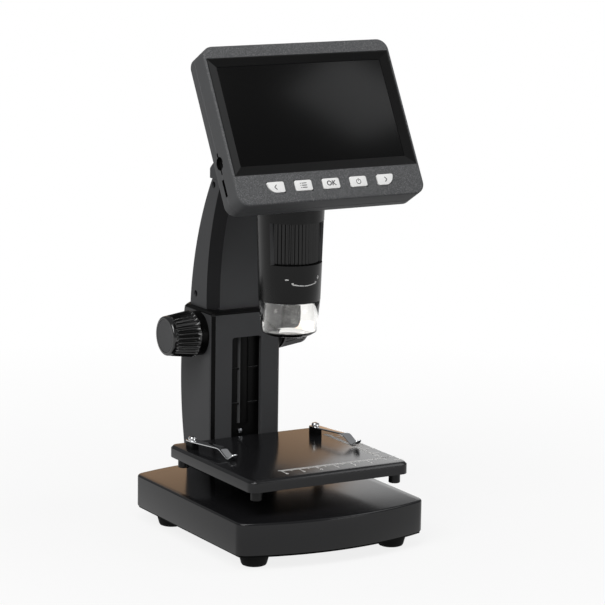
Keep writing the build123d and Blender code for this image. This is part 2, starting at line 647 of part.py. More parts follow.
with BuildPart() as column_blank:
    with BuildSketch(Plane.YZ):
        with BuildLine():
            Line((PLATE_BACK_Y, BASE_TOP_Z), (PLATE_BACK_Y, COLUMN_TOP_Z))
            Line((PLATE_BACK_Y, COLUMN_TOP_Z), COLUMN_BACK_TOP)
            ThreePointArc(COLUMN_BACK_TOP, COLUMN_BACK_WAIST, COLUMN_BACK_FOOT)
            Line(COLUMN_BACK_FOOT, (PLATE_BACK_Y, BASE_TOP_Z))
        make_face()
    extrude(amount=COLUMN_WIDTH / 2, both=True)
    chamfer(
        column_blank.edges().filter_by(GeomType.CIRCLE).group_by(Axis.Y)[-1],
        COLUMN_BACK_CHAMFER,
    )

with BuildPart() as column_body:
    add(column_blank.part)
    block(
        Plane.XY.offset(COLUMN_BODY_TOP_Z), (-COLUMN_WIDTH, PLATE_BACK_Y - 1),
        (COLUMN_WIDTH, COLUMN_BACK_WAIST[0] + 1), CAP_THICKNESS + 1, Mode.SUBTRACT,
    )
    with BuildSketch(Plane.XY.offset(WELL_BOTTOM_Z)):
        add(arm_section(WELL_SECTION_GROW))
    extrude(amount=COLUMN_TOP_Z - WELL_BOTTOM_Z, mode=Mode.SUBTRACT)
    block(
        Plane.XY.offset(BASE_TOP_Z + COLUMN_WALL), (-COLUMN_INNER_HALF, PLATE_BACK_Y - 1),
        (COLUMN_INNER_HALF, (ARM_FRONT_Y + ARM_BACK_Y) / 2), COLUMN_HEIGHT, Mode.SUBTRACT,
    )
    block(
        Plane.XY.offset(BASE_TOP_Z + COLUMN_WALL), (-COLUMN_INNER_HALF, PLATE_BACK_Y - 1),
        (COLUMN_INNER_HALF, COLUMN_BACK_FOOT[0] - COLUMN_WALL - COLUMN_BACK_THICKENING),
        WELL_BOTTOM_Z - BASE_TOP_Z - 2 * COLUMN_WALL, Mode.SUBTRACT,
    )
    post(Plane.XY.offset(BASE_TOP_Z), COLUMN_BOSSES, COLUMN_BOSS_RADIUS, COLUMN_BOSS_HEIGHT)
    post(Plane.XY.offset(BASE_TOP_Z), COLUMN_BOSSES, COLUMN_SCREW_RADIUS, COLUMN_HOLE_DEPTH,
         Mode.SUBTRACT)
    for side in (-1, 1):
        post(
            Plane.YZ.offset(side * COLUMN_INNER_HALF - (0 if side > 0 else COLUMN_WALL)),
            [(KNOB_Y, KNOB_Z)], BUSH_RADIUS, COLUMN_WALL, Mode.SUBTRACT,
        )
column_body.part.label = "column_body"
export_step(column_body.part, "parts/column_body.step")

SLOT_TOP_Z = COLUMN_TOP_Z - SLOT_TOP_DROP
SLOT_LOW_Z = BASE_TOP_Z + STAGE_GAP / 2

with BuildPart() as column_front_plate:
    block(
        Plane.XY.offset(BASE_TOP_Z), (-COLUMN_WIDTH / 2, COLUMN_FRONT_Y),
        (COLUMN_WIDTH / 2, PLATE_BACK_Y), COLUMN_HEIGHT - CAP_THICKNESS,
    )
    chamfer(
        column_front_plate.edges().filter_by(Axis.Z).group_by(Axis.Y)[0], COLUMN_FRONT_CHAMFER
    )
    with BuildSketch(Plane.XZ.offset(-PLATE_BACK_Y)) as slot:
        with Locations((0, (SLOT_TOP_Z + SLOT_LOW_Z) / 2)):
            Rectangle(SLOT_WIDTH, SLOT_TOP_Z - SLOT_LOW_Z)
        fillet(slot.vertices().group_by(Axis.Y)[-1], SLOT_CORNER_RADIUS)
    extrude(amount=FRONT_PLATE_THICKNESS, mode=Mode.SUBTRACT)
column_front_plate.part.label = "column_front_plate"
export_step(column_front_plate.part, "parts/column_front_plate.step")

with BuildPart() as column_top_cap:
    with BuildSketch(Plane.XY.offset(COLUMN_BODY_TOP_Z)) as cap_outline:
        with BuildLine():
            half = COLUMN_WIDTH / 2
            front = COLUMN_FRONT_Y
            back = COLUMN_BACK_TOP[0]
            Polyline(
                (-half + COLUMN_FRONT_CHAMFER, front), (half - COLUMN_FRONT_CHAMFER, front),
                (half, front + COLUMN_FRONT_CHAMFER), (half, back - COLUMN_BACK_CHAMFER),
                (half - COLUMN_BACK_CHAMFER, back), (-half + COLUMN_BACK_CHAMFER, back),
                (-half, back - COLUMN_BACK_CHAMFER), (-half, front + COLUMN_FRONT_CHAMFER),
                close=True,
            )
        make_face()
    extrude(amount=CAP_THICKNESS)
    chamfer(column_top_cap.edges().group_by(Axis.Z)[-1], CAP_CHAMFER)
    with BuildSketch(Plane.XY.offset(COLUMN_BODY_TOP_Z)):
        add(arm_section(SLIDE_GAP))
    extrude(amount=CAP_THICKNESS, mode=Mode.SUBTRACT)
column_top_cap.part.label = "column_top_cap"
export_step(column_top_cap.part, "parts/column_top_cap.step")

GUIDE_LOW_Z = BASE_TOP_Z + COLUMN_WALL + FIT_GAP
GUIDE_SCREW_Z = STAGE_TOP_Z + GUIDE_SCREW_RISE
RIB_LOW_Z = STAGE_TOP_Z + GUIDE_RIB_RISE

with BuildPart() as slide_guide:
    block(
        Plane.XY.offset(GUIDE_LOW_Z), (-COLUMN_INNER_HALF, GUIDE_FRONT_Y),
        (COLUMN_INNER_HALF, GUIDE_BACK_Y), COLUMN_BODY_TOP_Z - GUIDE_LOW_Z,
    )
    for side in (-1, 1):
        low_x = min(side * COLUMN_INNER_HALF, side * (COLUMN_INNER_HALF - COLUMN_WALL))
        block(
            Plane.XY.offset(GUIDE_LOW_Z), (low_x, PLATE_BACK_Y),
            (low_x + COLUMN_WALL, GUIDE_FRONT_Y), COLUMN_BODY_TOP_Z - GUIDE_LOW_Z,
        )
    block(
        Plane.XY.offset(RIB_LOW_Z), (-GUIDE_RIB_WIDTH / 2, COLUMN_FRONT_Y + GUIDE_RIB_RECESS),
        (GUIDE_RIB_WIDTH / 2, GUIDE_FRONT_Y), COLUMN_BODY_TOP_Z - RIB_LOW_Z,
    )
    rib_edges = slide_guide.edges().filter_by(Axis.Z).group_by(Axis.Y)
    fillet(
        [edge for edge in rib_edges[1] if abs(edge.center().X) < SLOT_WIDTH / 2],
        GUIDE_RIB_RADIUS,
    )
    for drop in CROSS_RIB_DROPS:
        block(
            Plane.XY.offset(COLUMN_TOP_Z - drop - CROSS_RIB_HEIGHT / 2),
            (-SLOT_WIDTH / 2, COLUMN_FRONT_Y + CROSS_RIB_RECESS),
            (SLOT_WIDTH / 2, GUIDE_FRONT_Y), CROSS_RIB_HEIGHT,
        )
    post(
        Plane.XZ.offset(-GUIDE_BACK_Y), [(GUIDE_SCREW_X, GUIDE_SCREW_Z)], GUIDE_SCREW_RADIUS,
        GUIDE_THICKNESS, Mode.SUBTRACT,
    )
slide_guide.part.label = "slide_guide"
export_step(slide_guide.part, "parts/slide_guide.step")

with BuildPart() as guide_screw:
    screw(
        Plane.XZ.offset(-GUIDE_FRONT_Y + SCREW_HEAD_HEIGHT), [(GUIDE_SCREW_X, GUIDE_SCREW_Z)],
        GUIDE_SCREW_HEAD, SCREW_HEAD_HEIGHT, GUIDE_SCREW_RADIUS, GUIDE_THICKNESS, way=-1,
    )
guide_screw.part.label = "guide_screw"
export_step(guide_screw.part, "parts/guide_screw.step")

with BuildPart() as column_screws:
    screw(
        Plane.XY.offset(ROOF_LOW_Z - SCREW_HEAD_HEIGHT), COLUMN_BOSSES, COLUMN_SCREW_HEAD,
        SCREW_HEAD_HEIGHT, COLUMN_SCREW_RADIUS, BASE_WALL + COLUMN_SCREW_BITE,
    )
column_screws.part.label = "column_screws"
export_step(column_screws.part, "parts/column_screws.step")

with BuildPart() as shaft_bushes:
    for side in (-1, 1):
        wall = Plane.YZ.offset(side * COLUMN_INNER_HALF)
        face = Plane.YZ.offset(side * COLUMN_WIDTH / 2)
        spot = [(KNOB_Y, KNOB_Z)]
        post(wall, spot, BUSH_RADIUS, side * (COLUMN_WALL + COLLAR_LENGTH))
        post(face, spot, COLLAR_RADIUS, side * COLLAR_LENGTH)
        post(
            wall, spot, SHAFT_RADIUS + SHAFT_GAP, side * (COLUMN_WALL + COLLAR_LENGTH),
            Mode.SUBTRACT,
        )
shaft_bushes.part.label = "shaft_bushes"
export_step(shaft_bushes.part, "parts/shaft_bushes.step")

# ================================================================ stage
STAGE_FRONT_Y = COLUMN_FRONT_Y - STAGE_DEPTH
STAGE_MIDDLE_Y = COLUMN_FRONT_Y - STAGE_DEPTH / 2
TONGUE_LOW_Z = STAGE_LOW_Z + (STAGE_THICKNESS - TONGUE_HEIGHT) / 2

with BuildPart() as stage_plate:
    with BuildSketch(Plane.XY.offset(STAGE_LOW_Z)):
        with Locations((0, STAGE_MIDDLE_Y)):
            RectangleRounded(STAGE_WIDTH, STAGE_DEPTH, STAGE_CORNER_RADIUS)
    extrude(amount=STAGE_THICKNESS)
    chamfer(stage_plate.edges().group_by(Axis.Z)[-1], STAGE_CHAMFER)
    with BuildSketch(Plane.XY.offset(STAGE_LOW_Z)):
        with Locations((0, STAGE_MIDDLE_Y)):
            RectangleRounded(
                STAGE_WIDTH - 2 * STAGE_WALL, STAGE_DEPTH - 2 * STAGE_WALL,
                STAGE_CORNER_RADIUS - STAGE_WALL,
            )
    extrude(amount=STAGE_THICKNESS - STAGE_WALL, mode=Mode.SUBTRACT)
    block(
        Plane.XY.offset(TONGUE_LOW_Z), (FIT_GAP - SLOT_WIDTH / 2, COLUMN_FRONT_Y - STAGE_WALL),
        (SLOT_WIDTH / 2 - FIT_GAP, GUIDE_FRONT_Y), TONGUE_HEIGHT,
    )
    post(
        Plane.XY.offset(STAGE_TOP_Z - STAGE_WALL), list(CLIP_PIVOTS.values()),
        CLIP_SCREW_RADIUS, STAGE_WALL, Mode.SUBTRACT,
    )
stage_plate.part.label = "stage_plate"
export_step(stage_plate.part, "parts/stage_plate.step")

with BuildPart() as stage_bottom_plate:
    with BuildSketch(Plane.XY.offset(STAGE_LOW_Z)):
        with Locations((0, STAGE_MIDDLE_Y)):
            RectangleRounded(
                STAGE_WIDTH - 2 * STAGE_WALL, STAGE_DEPTH - 2 * STAGE_WALL,
                STAGE_CORNER_RADIUS - STAGE_WALL,
            )
    extrude(amount=STAGE_FLOOR)
stage_bottom_plate.part.label = "stage_bottom_plate"
export_step(stage_bottom_plate.part, "parts/stage_bottom_plate.step")

with BuildPart() as stage_pegs:
    with Locations(*[(x, y, STAGE_LOW_Z - PEG_LENGTH / 2) for x, y in PEG_SPOTS]):
        Cylinder(PEG_RADIUS, PEG_LENGTH)
    fillet(stage_pegs.edges().group_by(Axis.Z)[0], PEG_EDGE_RADIUS)
stage_pegs.part.label = "stage_pegs"
export_step(stage_pegs.part, "parts/stage_pegs.step")

# ================================================================ clips
CLIP_LOW = POST_HEIGHT + CLIP_SEAT_GAP

with BuildPart() as clip_posts:
    with BuildSketch(Plane.XY.offset(STAGE_TOP_Z)):
        with Locations(*CLIP_PIVOTS.values()):
            RectangleRounded(POST_WIDTH, POST_LENGTH, POST_CORNER_RADIUS)
    extrude(amount=POST_HEIGHT)
    post(
        Plane.XY.offset(STAGE_TOP_Z), list(CLIP_PIVOTS.values()), CLIP_SCREW_RADIUS,
        POST_HEIGHT, Mode.SUBTRACT,
    )
clip_posts.part.label = "clip_posts"
export_step(clip_posts.part, "parts/clip_posts.step")

CLIP_HEAD_LOW_Z = STAGE_TOP_Z + CLIP_LOW + CLIP_THICKNESS + FIT_GAP

with BuildPart() as clip_screws:
    screw(
        Plane.XY.offset(CLIP_HEAD_LOW_Z + CLIP_HEAD_HEIGHT), list(CLIP_PIVOTS.values()),
        CLIP_HEAD_RADIUS, CLIP_HEAD_HEIGHT, CLIP_SCREW_RADIUS,
        CLIP_HEAD_LOW_Z - STAGE_TOP_Z + STAGE_WALL, way=-1,
    )
    chamfer(clip_screws.edges().group_by(Axis.Z)[-1], CLIP_HEAD_CHAMFER)
clip_screws.part.label = "clip_screws"
export_step(clip_screws.part, "parts/clip_screws.step")

for clip_node, (pivot_x, pivot_y) in CLIP_PIVOTS.items():
    turn = radians(CLIP_ANGLE)
    clip_plane = Plane(
        origin=(pivot_x, pivot_y, STAGE_TOP_Z),
        x_dir=(sin(turn), -cos(turn), 0),
        z_dir=(-cos(turn), -sin(turn), 0),
    )
    press_s = CLIP_REACH + CLIP_DROP_LENGTH
    with BuildPart() as clip:
        with BuildSketch(clip_plane) as clip_profile:
            with BuildLine():
                FilletPolyline(
                    (-CLIP_TAIL, CLIP_LOW),
                    (CLIP_TAIL, CLIP_LOW),
                    (CLIP_REACH, CLIP_LOW + CLIP_RISE),
                    (press_s, CLIP_TIP_GAP),
                    (press_s + CLIP_TIP_LENGTH, CLIP_TIP_GAP + CLIP_TIP_RISE),
                    radius=CLIP_BEND_RADIUS,
                )
                offset(amount=CLIP_THICKNESS, side=Side.LEFT)
            make_face()
        extrude(clip_profile.sketch, amount=CLIP_WIDTH / 2, both=True)
        post(
            Plane.XY.offset(STAGE_TOP_Z), [(pivot_x, pivot_y)],
            CLIP_SCREW_RADIUS + FIT_GAP, 2 * POST_HEIGHT, Mode.SUBTRACT,
        )
    clip.part.label = clip_node
    export_step(clip.part, "parts/" + clip_node + ".step")

# ================================================================ lift drive
KNOB_BORE_X = KNOB_INNER_X + KNOB_BORE_DEPTH

with BuildPart() as knob_shaft:
    post(Plane.YZ.offset(-KNOB_BORE_X), [(KNOB_Y, KNOB_Z)], SHAFT_RADIUS, 2 * KNOB_BORE_X)
knob_shaft.part.label = "knob_shaft"
export_step(knob_shaft.part, "parts/knob_shaft.step")

tip_radius = PITCH_RADIUS + TOOTH_ADDENDUM
root_radius = PITCH_RADIUS - TOOTH_DEDENDUM
flank = tan(radians(TOOTH_FLANK_ANGLE))
half_tooth = TOOTH_THICKNESS / 2
tip_half = half_tooth - TOOTH_ADDENDUM * flank

with BuildPart() as pinion:
    with BuildSketch(Plane.YZ.offset(-PINION_WIDTH / 2)) as pinion_section:
        with Locations((KNOB_Y, KNOB_Z)):
            Circle(root_radius)
            with PolarLocations(0, PINION_TEETH):
                Polygon(
                    (root_radius / 2, -half_tooth), (PITCH_RADIUS, -half_tooth),
                    (tip_radius, -tip_half), (tip_radius, tip_half),
                    (PITCH_RADIUS, half_tooth), (root_radius / 2, half_tooth),
                    align=None,
                )
            Circle(SHAFT_RADIUS, mode=Mode.SUBTRACT)
    extrude(pinion_section.sketch, amount=PINION_WIDTH)
pinion.part.label = "pinion"
export_step(pinion.part, "parts/pinion.step")

for knob_node, side in (("left_knob", -1), ("right_knob", 1)):
    knob_plane = Plane(
        origin=(side * KNOB_INNER_X, KNOB_Y, KNOB_Z), x_dir=(0, 1, 0), z_dir=(side, 0, 0)
    )
    knob_length = KNOB_OUTER_X - KNOB_INNER_X
    with BuildPart(knob_plane) as knob:
        Cone(
            KNOB_INNER_RADIUS, KNOB_OUTER_RADIUS, knob_length,
            align=(Align.CENTER, Align.CENTER, Align.MIN),
        )
        fillet(
            knob.edges().filter_by(GeomType.CIRCLE).sort_by(SortBy.RADIUS)[0], KNOB_EDGE_RADIUS
        )
        with PolarLocations(KNOB_INNER_RADIUS, KNOB_FLUTES):
            Cylinder(
                KNOB_FLUTE_RADIUS, KNOB_GRIP_LENGTH,
                align=(Align.CENTER, Align.CENTER, Align.MIN), mode=Mode.SUBTRACT,
            )
        Cylinder(
            SHAFT_RADIUS, KNOB_BORE_DEPTH,
            align=(Align.CENTER, Align.CENTER, Align.MIN), mode=Mode.SUBTRACT,
        )
        with Locations((0, 0, knob_length)):
            Cylinder(
                DISC_RADIUS, DISC_THICKNESS,
                align=(Align.CENTER, Align.CENTER, Align.MAX), mode=Mode.SUBTRACT,
            )
    knob.part.label = knob_node
    export_step(knob.part, "parts/" + knob_node + ".step")

with BuildPart() as knob_discs:
    for side in (-1, 1):
        post(
            Plane.YZ.offset(side * (KNOB_OUTER_X - DISC_THICKNESS)), [(KNOB_Y, KNOB_Z)],
            DISC_RADIUS, side * DISC_THICKNESS,
        )
knob_discs.part.label = "knob_discs"
export_step(knob_discs.part, "parts/knob_discs.step")

# ================================================================ arm
ARM_SCREW_SPOTS = []
for rise, setback in (
    (ARM_SCREW_LOW_RISE, ARM_SCREW_LOW_SETBACK),
    (ARM_RISE - ARM_SCREW_TOP_DROP, ARM_SCREW_TOP_SETBACK),
):
    lean_run = (rise - ARM_FRONT_CURVE_RISE) / (ARM_RISE - ARM_FRONT_CURVE_RISE)
    spot_y = ARM_FRONT_Y + setback - ARM_LEAN_FRONT * lean_run**2
    ARM_SCREW_SPOTS.append((spot_y, COLUMN_TOP_Z + rise))
NECK_SCREW_SPOTS = [(-NECK_SCREW_X, NECK_SCREW_Y), (NECK_SCREW_X, NECK_SCREW_Y)]

with BuildPart() as arm_whole:
    add(arm_form(0.0))
    add(arm_form(ARM_WALL), mode=Mode.SUBTRACT)
    post(Plane.YZ.offset(-ARM_HALF + ARM_WALL), ARM_SCREW_SPOTS, ARM_BOSS_RADIUS,
         2 * (ARM_HALF - ARM_WALL))
    post(Plane.YZ.offset(-ARM_HALF), ARM_SCREW_SPOTS, ARM_SCREW_HEAD + FIT_GAP,
         ARM_SCREW_RECESS + SCREW_HEAD_HEIGHT, Mode.SUBTRACT)
    post(Plane.YZ.offset(-ARM_HALF), ARM_SCREW_SPOTS, ARM_SCREW_RADIUS,
         ARM_HALF + ARM_HOLE_REACH, Mode.SUBTRACT)
    post(Plane.XY.offset(ARM_TOP_Z - ARM_WALL), NECK_SCREW_SPOTS, NECK_SCREW_RADIUS,
         ARM_WALL, Mode.SUBTRACT)
    slot_half = SHAFT_RADIUS + SHAFT_SLOT_GAP
    block(Plane.YZ.offset(-ARM_HALF), (KNOB_Y - slot_half, ARM_BOTTOM_Z),
          (KNOB_Y + slot_half, SHAFT_SLOT_TOP_Z), 2 * ARM_HALF, Mode.SUBTRACT)

with BuildPart() as arm_left_shell:
    add(arm_whole.part)
    split(bisect_by=Plane.YZ, keep=Keep.BOTTOM)
arm_left_shell.part.label = "arm_left_shell"
export_step(arm_left_shell.part, "parts/arm_left_shell.step")

with BuildPart() as arm_right_shell:
    add(arm_whole.part)
    split(bisect_by=Plane.YZ, keep=Keep.TOP)
arm_right_shell.part.label = "arm_right_shell"
export_step(arm_right_shell.part, "parts/arm_right_shell.step")

with BuildPart() as arm_screws:
    screw(Plane.YZ.offset(-ARM_HALF + ARM_SCREW_RECESS), ARM_SCREW_SPOTS, ARM_SCREW_HEAD,
          SCREW_HEAD_HEIGHT, ARM_SCREW_RADIUS, ARM_HALF + ARM_SCREW_REACH)
arm_screws.part.label = "arm_screws"
export_step(arm_screws.part, "parts/arm_screws.step")

RACK_PITCH_Y = KNOB_Y + PITCH_RADIUS
RACK_BACK_Y = ARM_BACK_Y - ARM_WALL
RACK_LOW_Z = KNOB_Z - TRAVEL_UP - PITCH_RADIUS
RACK_HIGH_Z = KNOB_Z + TRAVEL_DOWN + PITCH_RADIUS
gap_count_up = int((RACK_HIGH_Z - KNOB_Z) / TOOTH_PITCH)
gap_count_down = int((KNOB_Z - RACK_LOW_Z) / TOOTH_PITCH)
rack_root_y = RACK_PITCH_Y + TOOTH_DEDENDUM
rack_tip_y = RACK_PITCH_Y - TOOTH_ADDENDUM
root_half = half_tooth + TOOTH_DEDENDUM * flank

rack_points = [(RACK_BACK_Y, RACK_LOW_Z), (rack_root_y, RACK_LOW_Z)]
for number in range(-gap_count_down, gap_count_up):
    tooth_z = KNOB_Z + (number + 0.5) * TOOTH_PITCH
    rack_points += [
        (rack_root_y, tooth_z - root_half), (rack_tip_y, tooth_z - tip_half),
        (rack_tip_y, tooth_z + tip_half), (rack_root_y, tooth_z + root_half),
    ]
lean_radius = ((ARM_RISE + ARM_BACK_CURVE_DROP) ** 2 + ARM_LEAN_BACK**2) / (2 * ARM_LEAN_BACK)
lean_start_z = COLUMN_TOP_Z - ARM_BACK_CURVE_DROP
lean_height = max(0.0, RACK_HIGH_Z - lean_start_z)
lean_at_top = lean_radius - (lean_radius**2 - lean_height**2) ** 0.5 + FIT_GAP
rack_points += [
    (rack_root_y, RACK_HIGH_Z), (RACK_BACK_Y - lean_at_top, RACK_HIGH_Z),
    (RACK_BACK_Y, min(RACK_HIGH_Z, lean_start_z) - PITCH_RADIUS),
]

with BuildPart() as rack:
    with BuildSketch(Plane.YZ) as rack_section:
        with BuildLine():
            Polyline(*rack_points, close=True)
        make_face()
    extrude(rack_section.sketch, amount=RACK_WIDTH / 2, both=True)
rack.part.label = "rack"
export_step(rack.part, "parts/rack.step")

# ================================================================ neck
BARREL_SCREW_SPOTS = [
    (BARREL_SCREW_CIRCLE * cos(radians(angle)), BARREL_Y + BARREL_SCREW_CIRCLE * sin(radians(angle)))
    for angle in (90, 210, 330)
]
HEAD_BACK_PLANE = HEAD_PLANE.offset(-HEAD_THICKNESS)

with BuildPart() as neck_bracket:
    add(neck_form(0.0))
    add(neck_form(NECK_WALL), mode=Mode.SUBTRACT)
    neck_floor = Plane.XY.offset(ARM_TOP_Z)
    post(neck_floor, BARREL_SCREW_SPOTS + NECK_SCREW_SPOTS, NECK_BOSS_RADIUS,
         NECK_WALL + NECK_BOSS_HEIGHT)
    post(neck_floor, BARREL_SCREW_SPOTS, BARREL_SCREW_RADIUS, NECK_WALL + NECK_HOLE_DEPTH,
         Mode.SUBTRACT)
    post(neck_floor, NECK_SCREW_SPOTS, NECK_SCREW_RADIUS, NECK_WALL + NECK_HOLE_DEPTH,
         Mode.SUBTRACT)
    post(neck_floor, [(0, BARREL_Y)], GUIDE_TUBE_RADIUS, NECK_WALL, Mode.SUBTRACT)
    post(HEAD_BACK_PLANE.offset(-NECK_WALL - HEAD_BOSS_HEIGHT), HEAD_SCREW_SPOTS,
         HEAD_BOSS_RADIUS, NECK_WALL + HEAD_BOSS_HEIGHT)
    post(HEAD_BACK_PLANE.offset(-NECK_WALL - HEAD_HOLE_DEPTH), HEAD_SCREW_SPOTS,
         HEAD_SCREW_RADIUS, NECK_WALL + HEAD_HOLE_DEPTH, Mode.SUBTRACT)
    cable_plane = HEAD_BACK_PLANE.offset(-NECK_WALL)
    post(cable_plane, [(0, CABLE_HOLE_V)], CABLE_HOLE_RADIUS, NECK_WALL, Mode.SUBTRACT)
neck_bracket.part.label = "neck_bracket"
export_step(neck_bracket.part, "parts/neck_bracket.step")

with BuildPart() as neck_screws:
    screw(Plane.XY.offset(ARM_TOP_Z - ARM_WALL - SCREW_HEAD_HEIGHT), NECK_SCREW_SPOTS,
          NECK_SCREW_HEAD, SCREW_HEAD_HEIGHT, NECK_SCREW_RADIUS,
          ARM_WALL + NECK_WALL + NECK_SCREW_BITE)
neck_screws.part.label = "neck_screws"
export_step(neck_screws.part, "parts/neck_screws.step")

with BuildPart() as barrel_screws:
    screw(Plane.XY.offset(ARM_TOP_Z - SHELF_THICKNESS - SMALL_HEAD_HEIGHT), BARREL_SCREW_SPOTS,
          BARREL_SCREW_HEAD, SMALL_HEAD_HEIGHT, BARREL_SCREW_RADIUS,
          SHELF_THICKNESS + NECK_WALL + BARREL_SCREW_BITE)
barrel_screws.part.label = "barrel_screws"
export_step(barrel_screws.part, "parts/barrel_screws.step")

with BuildPart() as head_screws:
    screw(HEAD_PLANE.offset(-HEAD_INNER_BACK_W + SMALL_HEAD_HEIGHT), HEAD_SCREW_SPOTS,
          HEAD_SCREW_HEAD, SMALL_HEAD_HEIGHT, HEAD_SCREW_RADIUS,
          HEAD_THICKNESS - HEAD_INNER_BACK_W + NECK_WALL + HEAD_SCREW_BITE, way=-1)
head_screws.part.label = "head_screws"
export_step(head_screws.part, "parts/head_screws.step")

# ================================================================ head
BUTTON_SPOTS = [((number - 2) * BUTTON_PITCH, BUTTON_V) for number in range(5)]


def head_outline(inset):
    """Rounded outline of the head's face, drawn in by inset."""
    with BuildSketch() as outline:
        with Locations((0, (HEAD_LOW + HEAD_HIGH) / 2)):
            RectangleRounded(
                HEAD_WIDTH - 2 * inset, HEAD_HIGH - HEAD_LOW - 2 * inset,
                HEAD_CORNER_RADIUS - inset,
            )
    return outline.sketch


def button_outline(number, grow):
    """Outline of one button about its centre, drawn out by grow."""
    half_width = BUTTON_WIDTH / 2
    half_height = BUTTON_HEIGHT / 2
    with BuildSketch() as outline:
        if number in (0, 4):
            outer = -1 if number == 0 else 1
            with BuildLine():
                Line((-outer * half_width, -half_height), (-outer * half_width, half_height))
                Line((-outer * half_width, half_height), (outer * half_width, half_height))
                ThreePointArc(
                    (outer * half_width, half_height),
                    (outer * (half_width - BUTTON_BULGE), -half_height / 3),
                    (outer * (half_width - BUTTON_CUT), -half_height),
                )
                Line((outer * (half_width - BUTTON_CUT), -half_height),
                     (-outer * half_width, -half_height))
            make_face()
        else:
            Rectangle(BUTTON_WIDTH, BUTTON_HEIGHT)
        fillet(outline.vertices(), BUTTON_CORNER_RADIUS)
        if grow > 0:
            offset(amount=grow, mode=Mode.REPLACE)
    return outline.sketch


def side_opening(centre, length, low_w, height, mode):
    """Cut a socket's opening through the head's left wall."""
    block(
        HEAD_PLANE.offset(-low_w - height), (-HEAD_HALF - 1, centre - length / 2),
        (-HEAD_INNER_HALF + 1, centre + length / 2), height, mode,
    )


FRONT_INNER = head_outline(HEAD_WALL)
HEAD_OUTER = head_outline(0.0)

with BuildPart() as head_front_shell:
    with BuildSketch(HEAD_PLANE.offset(-HEAD_FRONT_DEPTH)):
        add(HEAD_OUTER)
    extrude(amount=HEAD_FRONT_DEPTH)
    fillet(head_front_shell.faces().sort_by(FACE_AXIS)[-1].edges(), HEAD_EDGE_RADIUS)
    with BuildSketch(HEAD_PLANE.offset(-HEAD_FRONT_DEPTH)):
        add(FRONT_INNER)
    extrude(amount=HEAD_FRONT_DEPTH - HEAD_FACE, mode=Mode.SUBTRACT)
    block(HEAD_PLANE.offset(-HEAD_FACE), (-BEVEL_WIDTH / 2, BEVEL_LOW),
          (BEVEL_WIDTH / 2, BEVEL_HIGH), HEAD_FACE, Mode.SUBTRACT)
    for number, (button_x, button_y) in enumerate(BUTTON_SPOTS):
        hole = button_outline(number, BUTTON_GAP)
        with BuildSketch(HEAD_PLANE.offset(-HEAD_FACE)):
            with Locations((button_x, button_y)):
                add(hole)
        extrude(amount=HEAD_FACE, mode=Mode.SUBTRACT)
    boss_plane = HEAD_PLANE.offset(-HEAD_FRONT_DEPTH)
    post(boss_plane, SHELL_SCREW_SPOTS, SHELL_BOSS_RADIUS, HEAD_FRONT_DEPTH - HEAD_FACE)
    post(boss_plane, SHELL_SCREW_SPOTS, SHELL_SCREW_RADIUS, SHELL_HOLE_DEPTH, Mode.SUBTRACT)
    side_opening(CARD_SLOT_CENTRE, CARD_SLOT_LENGTH, BOARD_BACK_W, CARD_SLOT_HEIGHT, Mode.SUBTRACT)
    side_opening(USB_CENTRE, USB_LENGTH, BOARD_BACK_W, USB_HEIGHT, Mode.SUBTRACT)
head_front_shell.part.label = "head_front_shell"
export_step(head_front_shell.part, "parts/head_front_shell.step")

with BuildPart() as head_rear_shell:
    with BuildSketch(HEAD_BACK_PLANE):
        add(HEAD_OUTER)
    extrude(amount=HEAD_THICKNESS - HEAD_FRONT_DEPTH)
    chamfer(head_rear_shell.faces().sort_by(FACE_AXIS)[0].edges(), HEAD_BACK_CHAMFER)
    with BuildSketch(HEAD_PLANE.offset(-HEAD_INNER_BACK_W)):
        add(FRONT_INNER)
    extrude(amount=HEAD_INNER_BACK_W - HEAD_FRONT_DEPTH, mode=Mode.SUBTRACT)
    inner_back = HEAD_PLANE.offset(-HEAD_INNER_BACK_W)
    post(inner_back, STANDOFF_SPOTS, STANDOFF_RADIUS, HEAD_INNER_BACK_W - BOARD_BACK_W)
    post(inner_back, SHELL_SCREW_SPOTS, SHELL_BOSS_RADIUS, HEAD_INNER_BACK_W - HEAD_FRONT_DEPTH)
    post(HEAD_BACK_PLANE, SHELL_SCREW_SPOTS, SHELL_SCREW_RADIUS,
         HEAD_THICKNESS - HEAD_FRONT_DEPTH, Mode.SUBTRACT)
    post(HEAD_BACK_PLANE, SHELL_SCREW_SPOTS, SHELL_SCREW_HEAD + FIT_GAP,
         SMALL_HEAD_HEIGHT + SHELL_SCREW_RECESS, Mode.SUBTRACT)
    post(HEAD_BACK_PLANE, HEAD_SCREW_SPOTS, HEAD_SCREW_RADIUS, HEAD_BACK_WALL, Mode.SUBTRACT)
    post(HEAD_BACK_PLANE, [(0, CABLE_HOLE_V)], CABLE_HOLE_RADIUS, HEAD_BACK_WALL, Mode.SUBTRACT)
    side_opening(CARD_SLOT_CENTRE, CARD_SLOT_LENGTH, BOARD_BACK_W, CARD_SLOT_HEIGHT, Mode.SUBTRACT)
    side_opening(USB_CENTRE, USB_LENGTH, BOARD_BACK_W, USB_HEIGHT, Mode.SUBTRACT)
head_rear_shell.part.label = "head_rear_shell"
export_step(head_rear_shell.part, "parts/head_rear_shell.step")

with BuildPart() as shell_screws:
    screw(HEAD_BACK_PLANE.offset(SHELL_SCREW_RECESS), SHELL_SCREW_SPOTS, SHELL_SCREW_HEAD,
          SMALL_HEAD_HEIGHT, SHELL_SCREW_RADIUS,
          HEAD_THICKNESS - HEAD_FRONT_DEPTH + SHELL_SCREW_BITE - SMALL_HEAD_HEIGHT)
shell_screws.part.label = "shell_screws"
export_step(shell_screws.part, "parts/shell_screws.step")

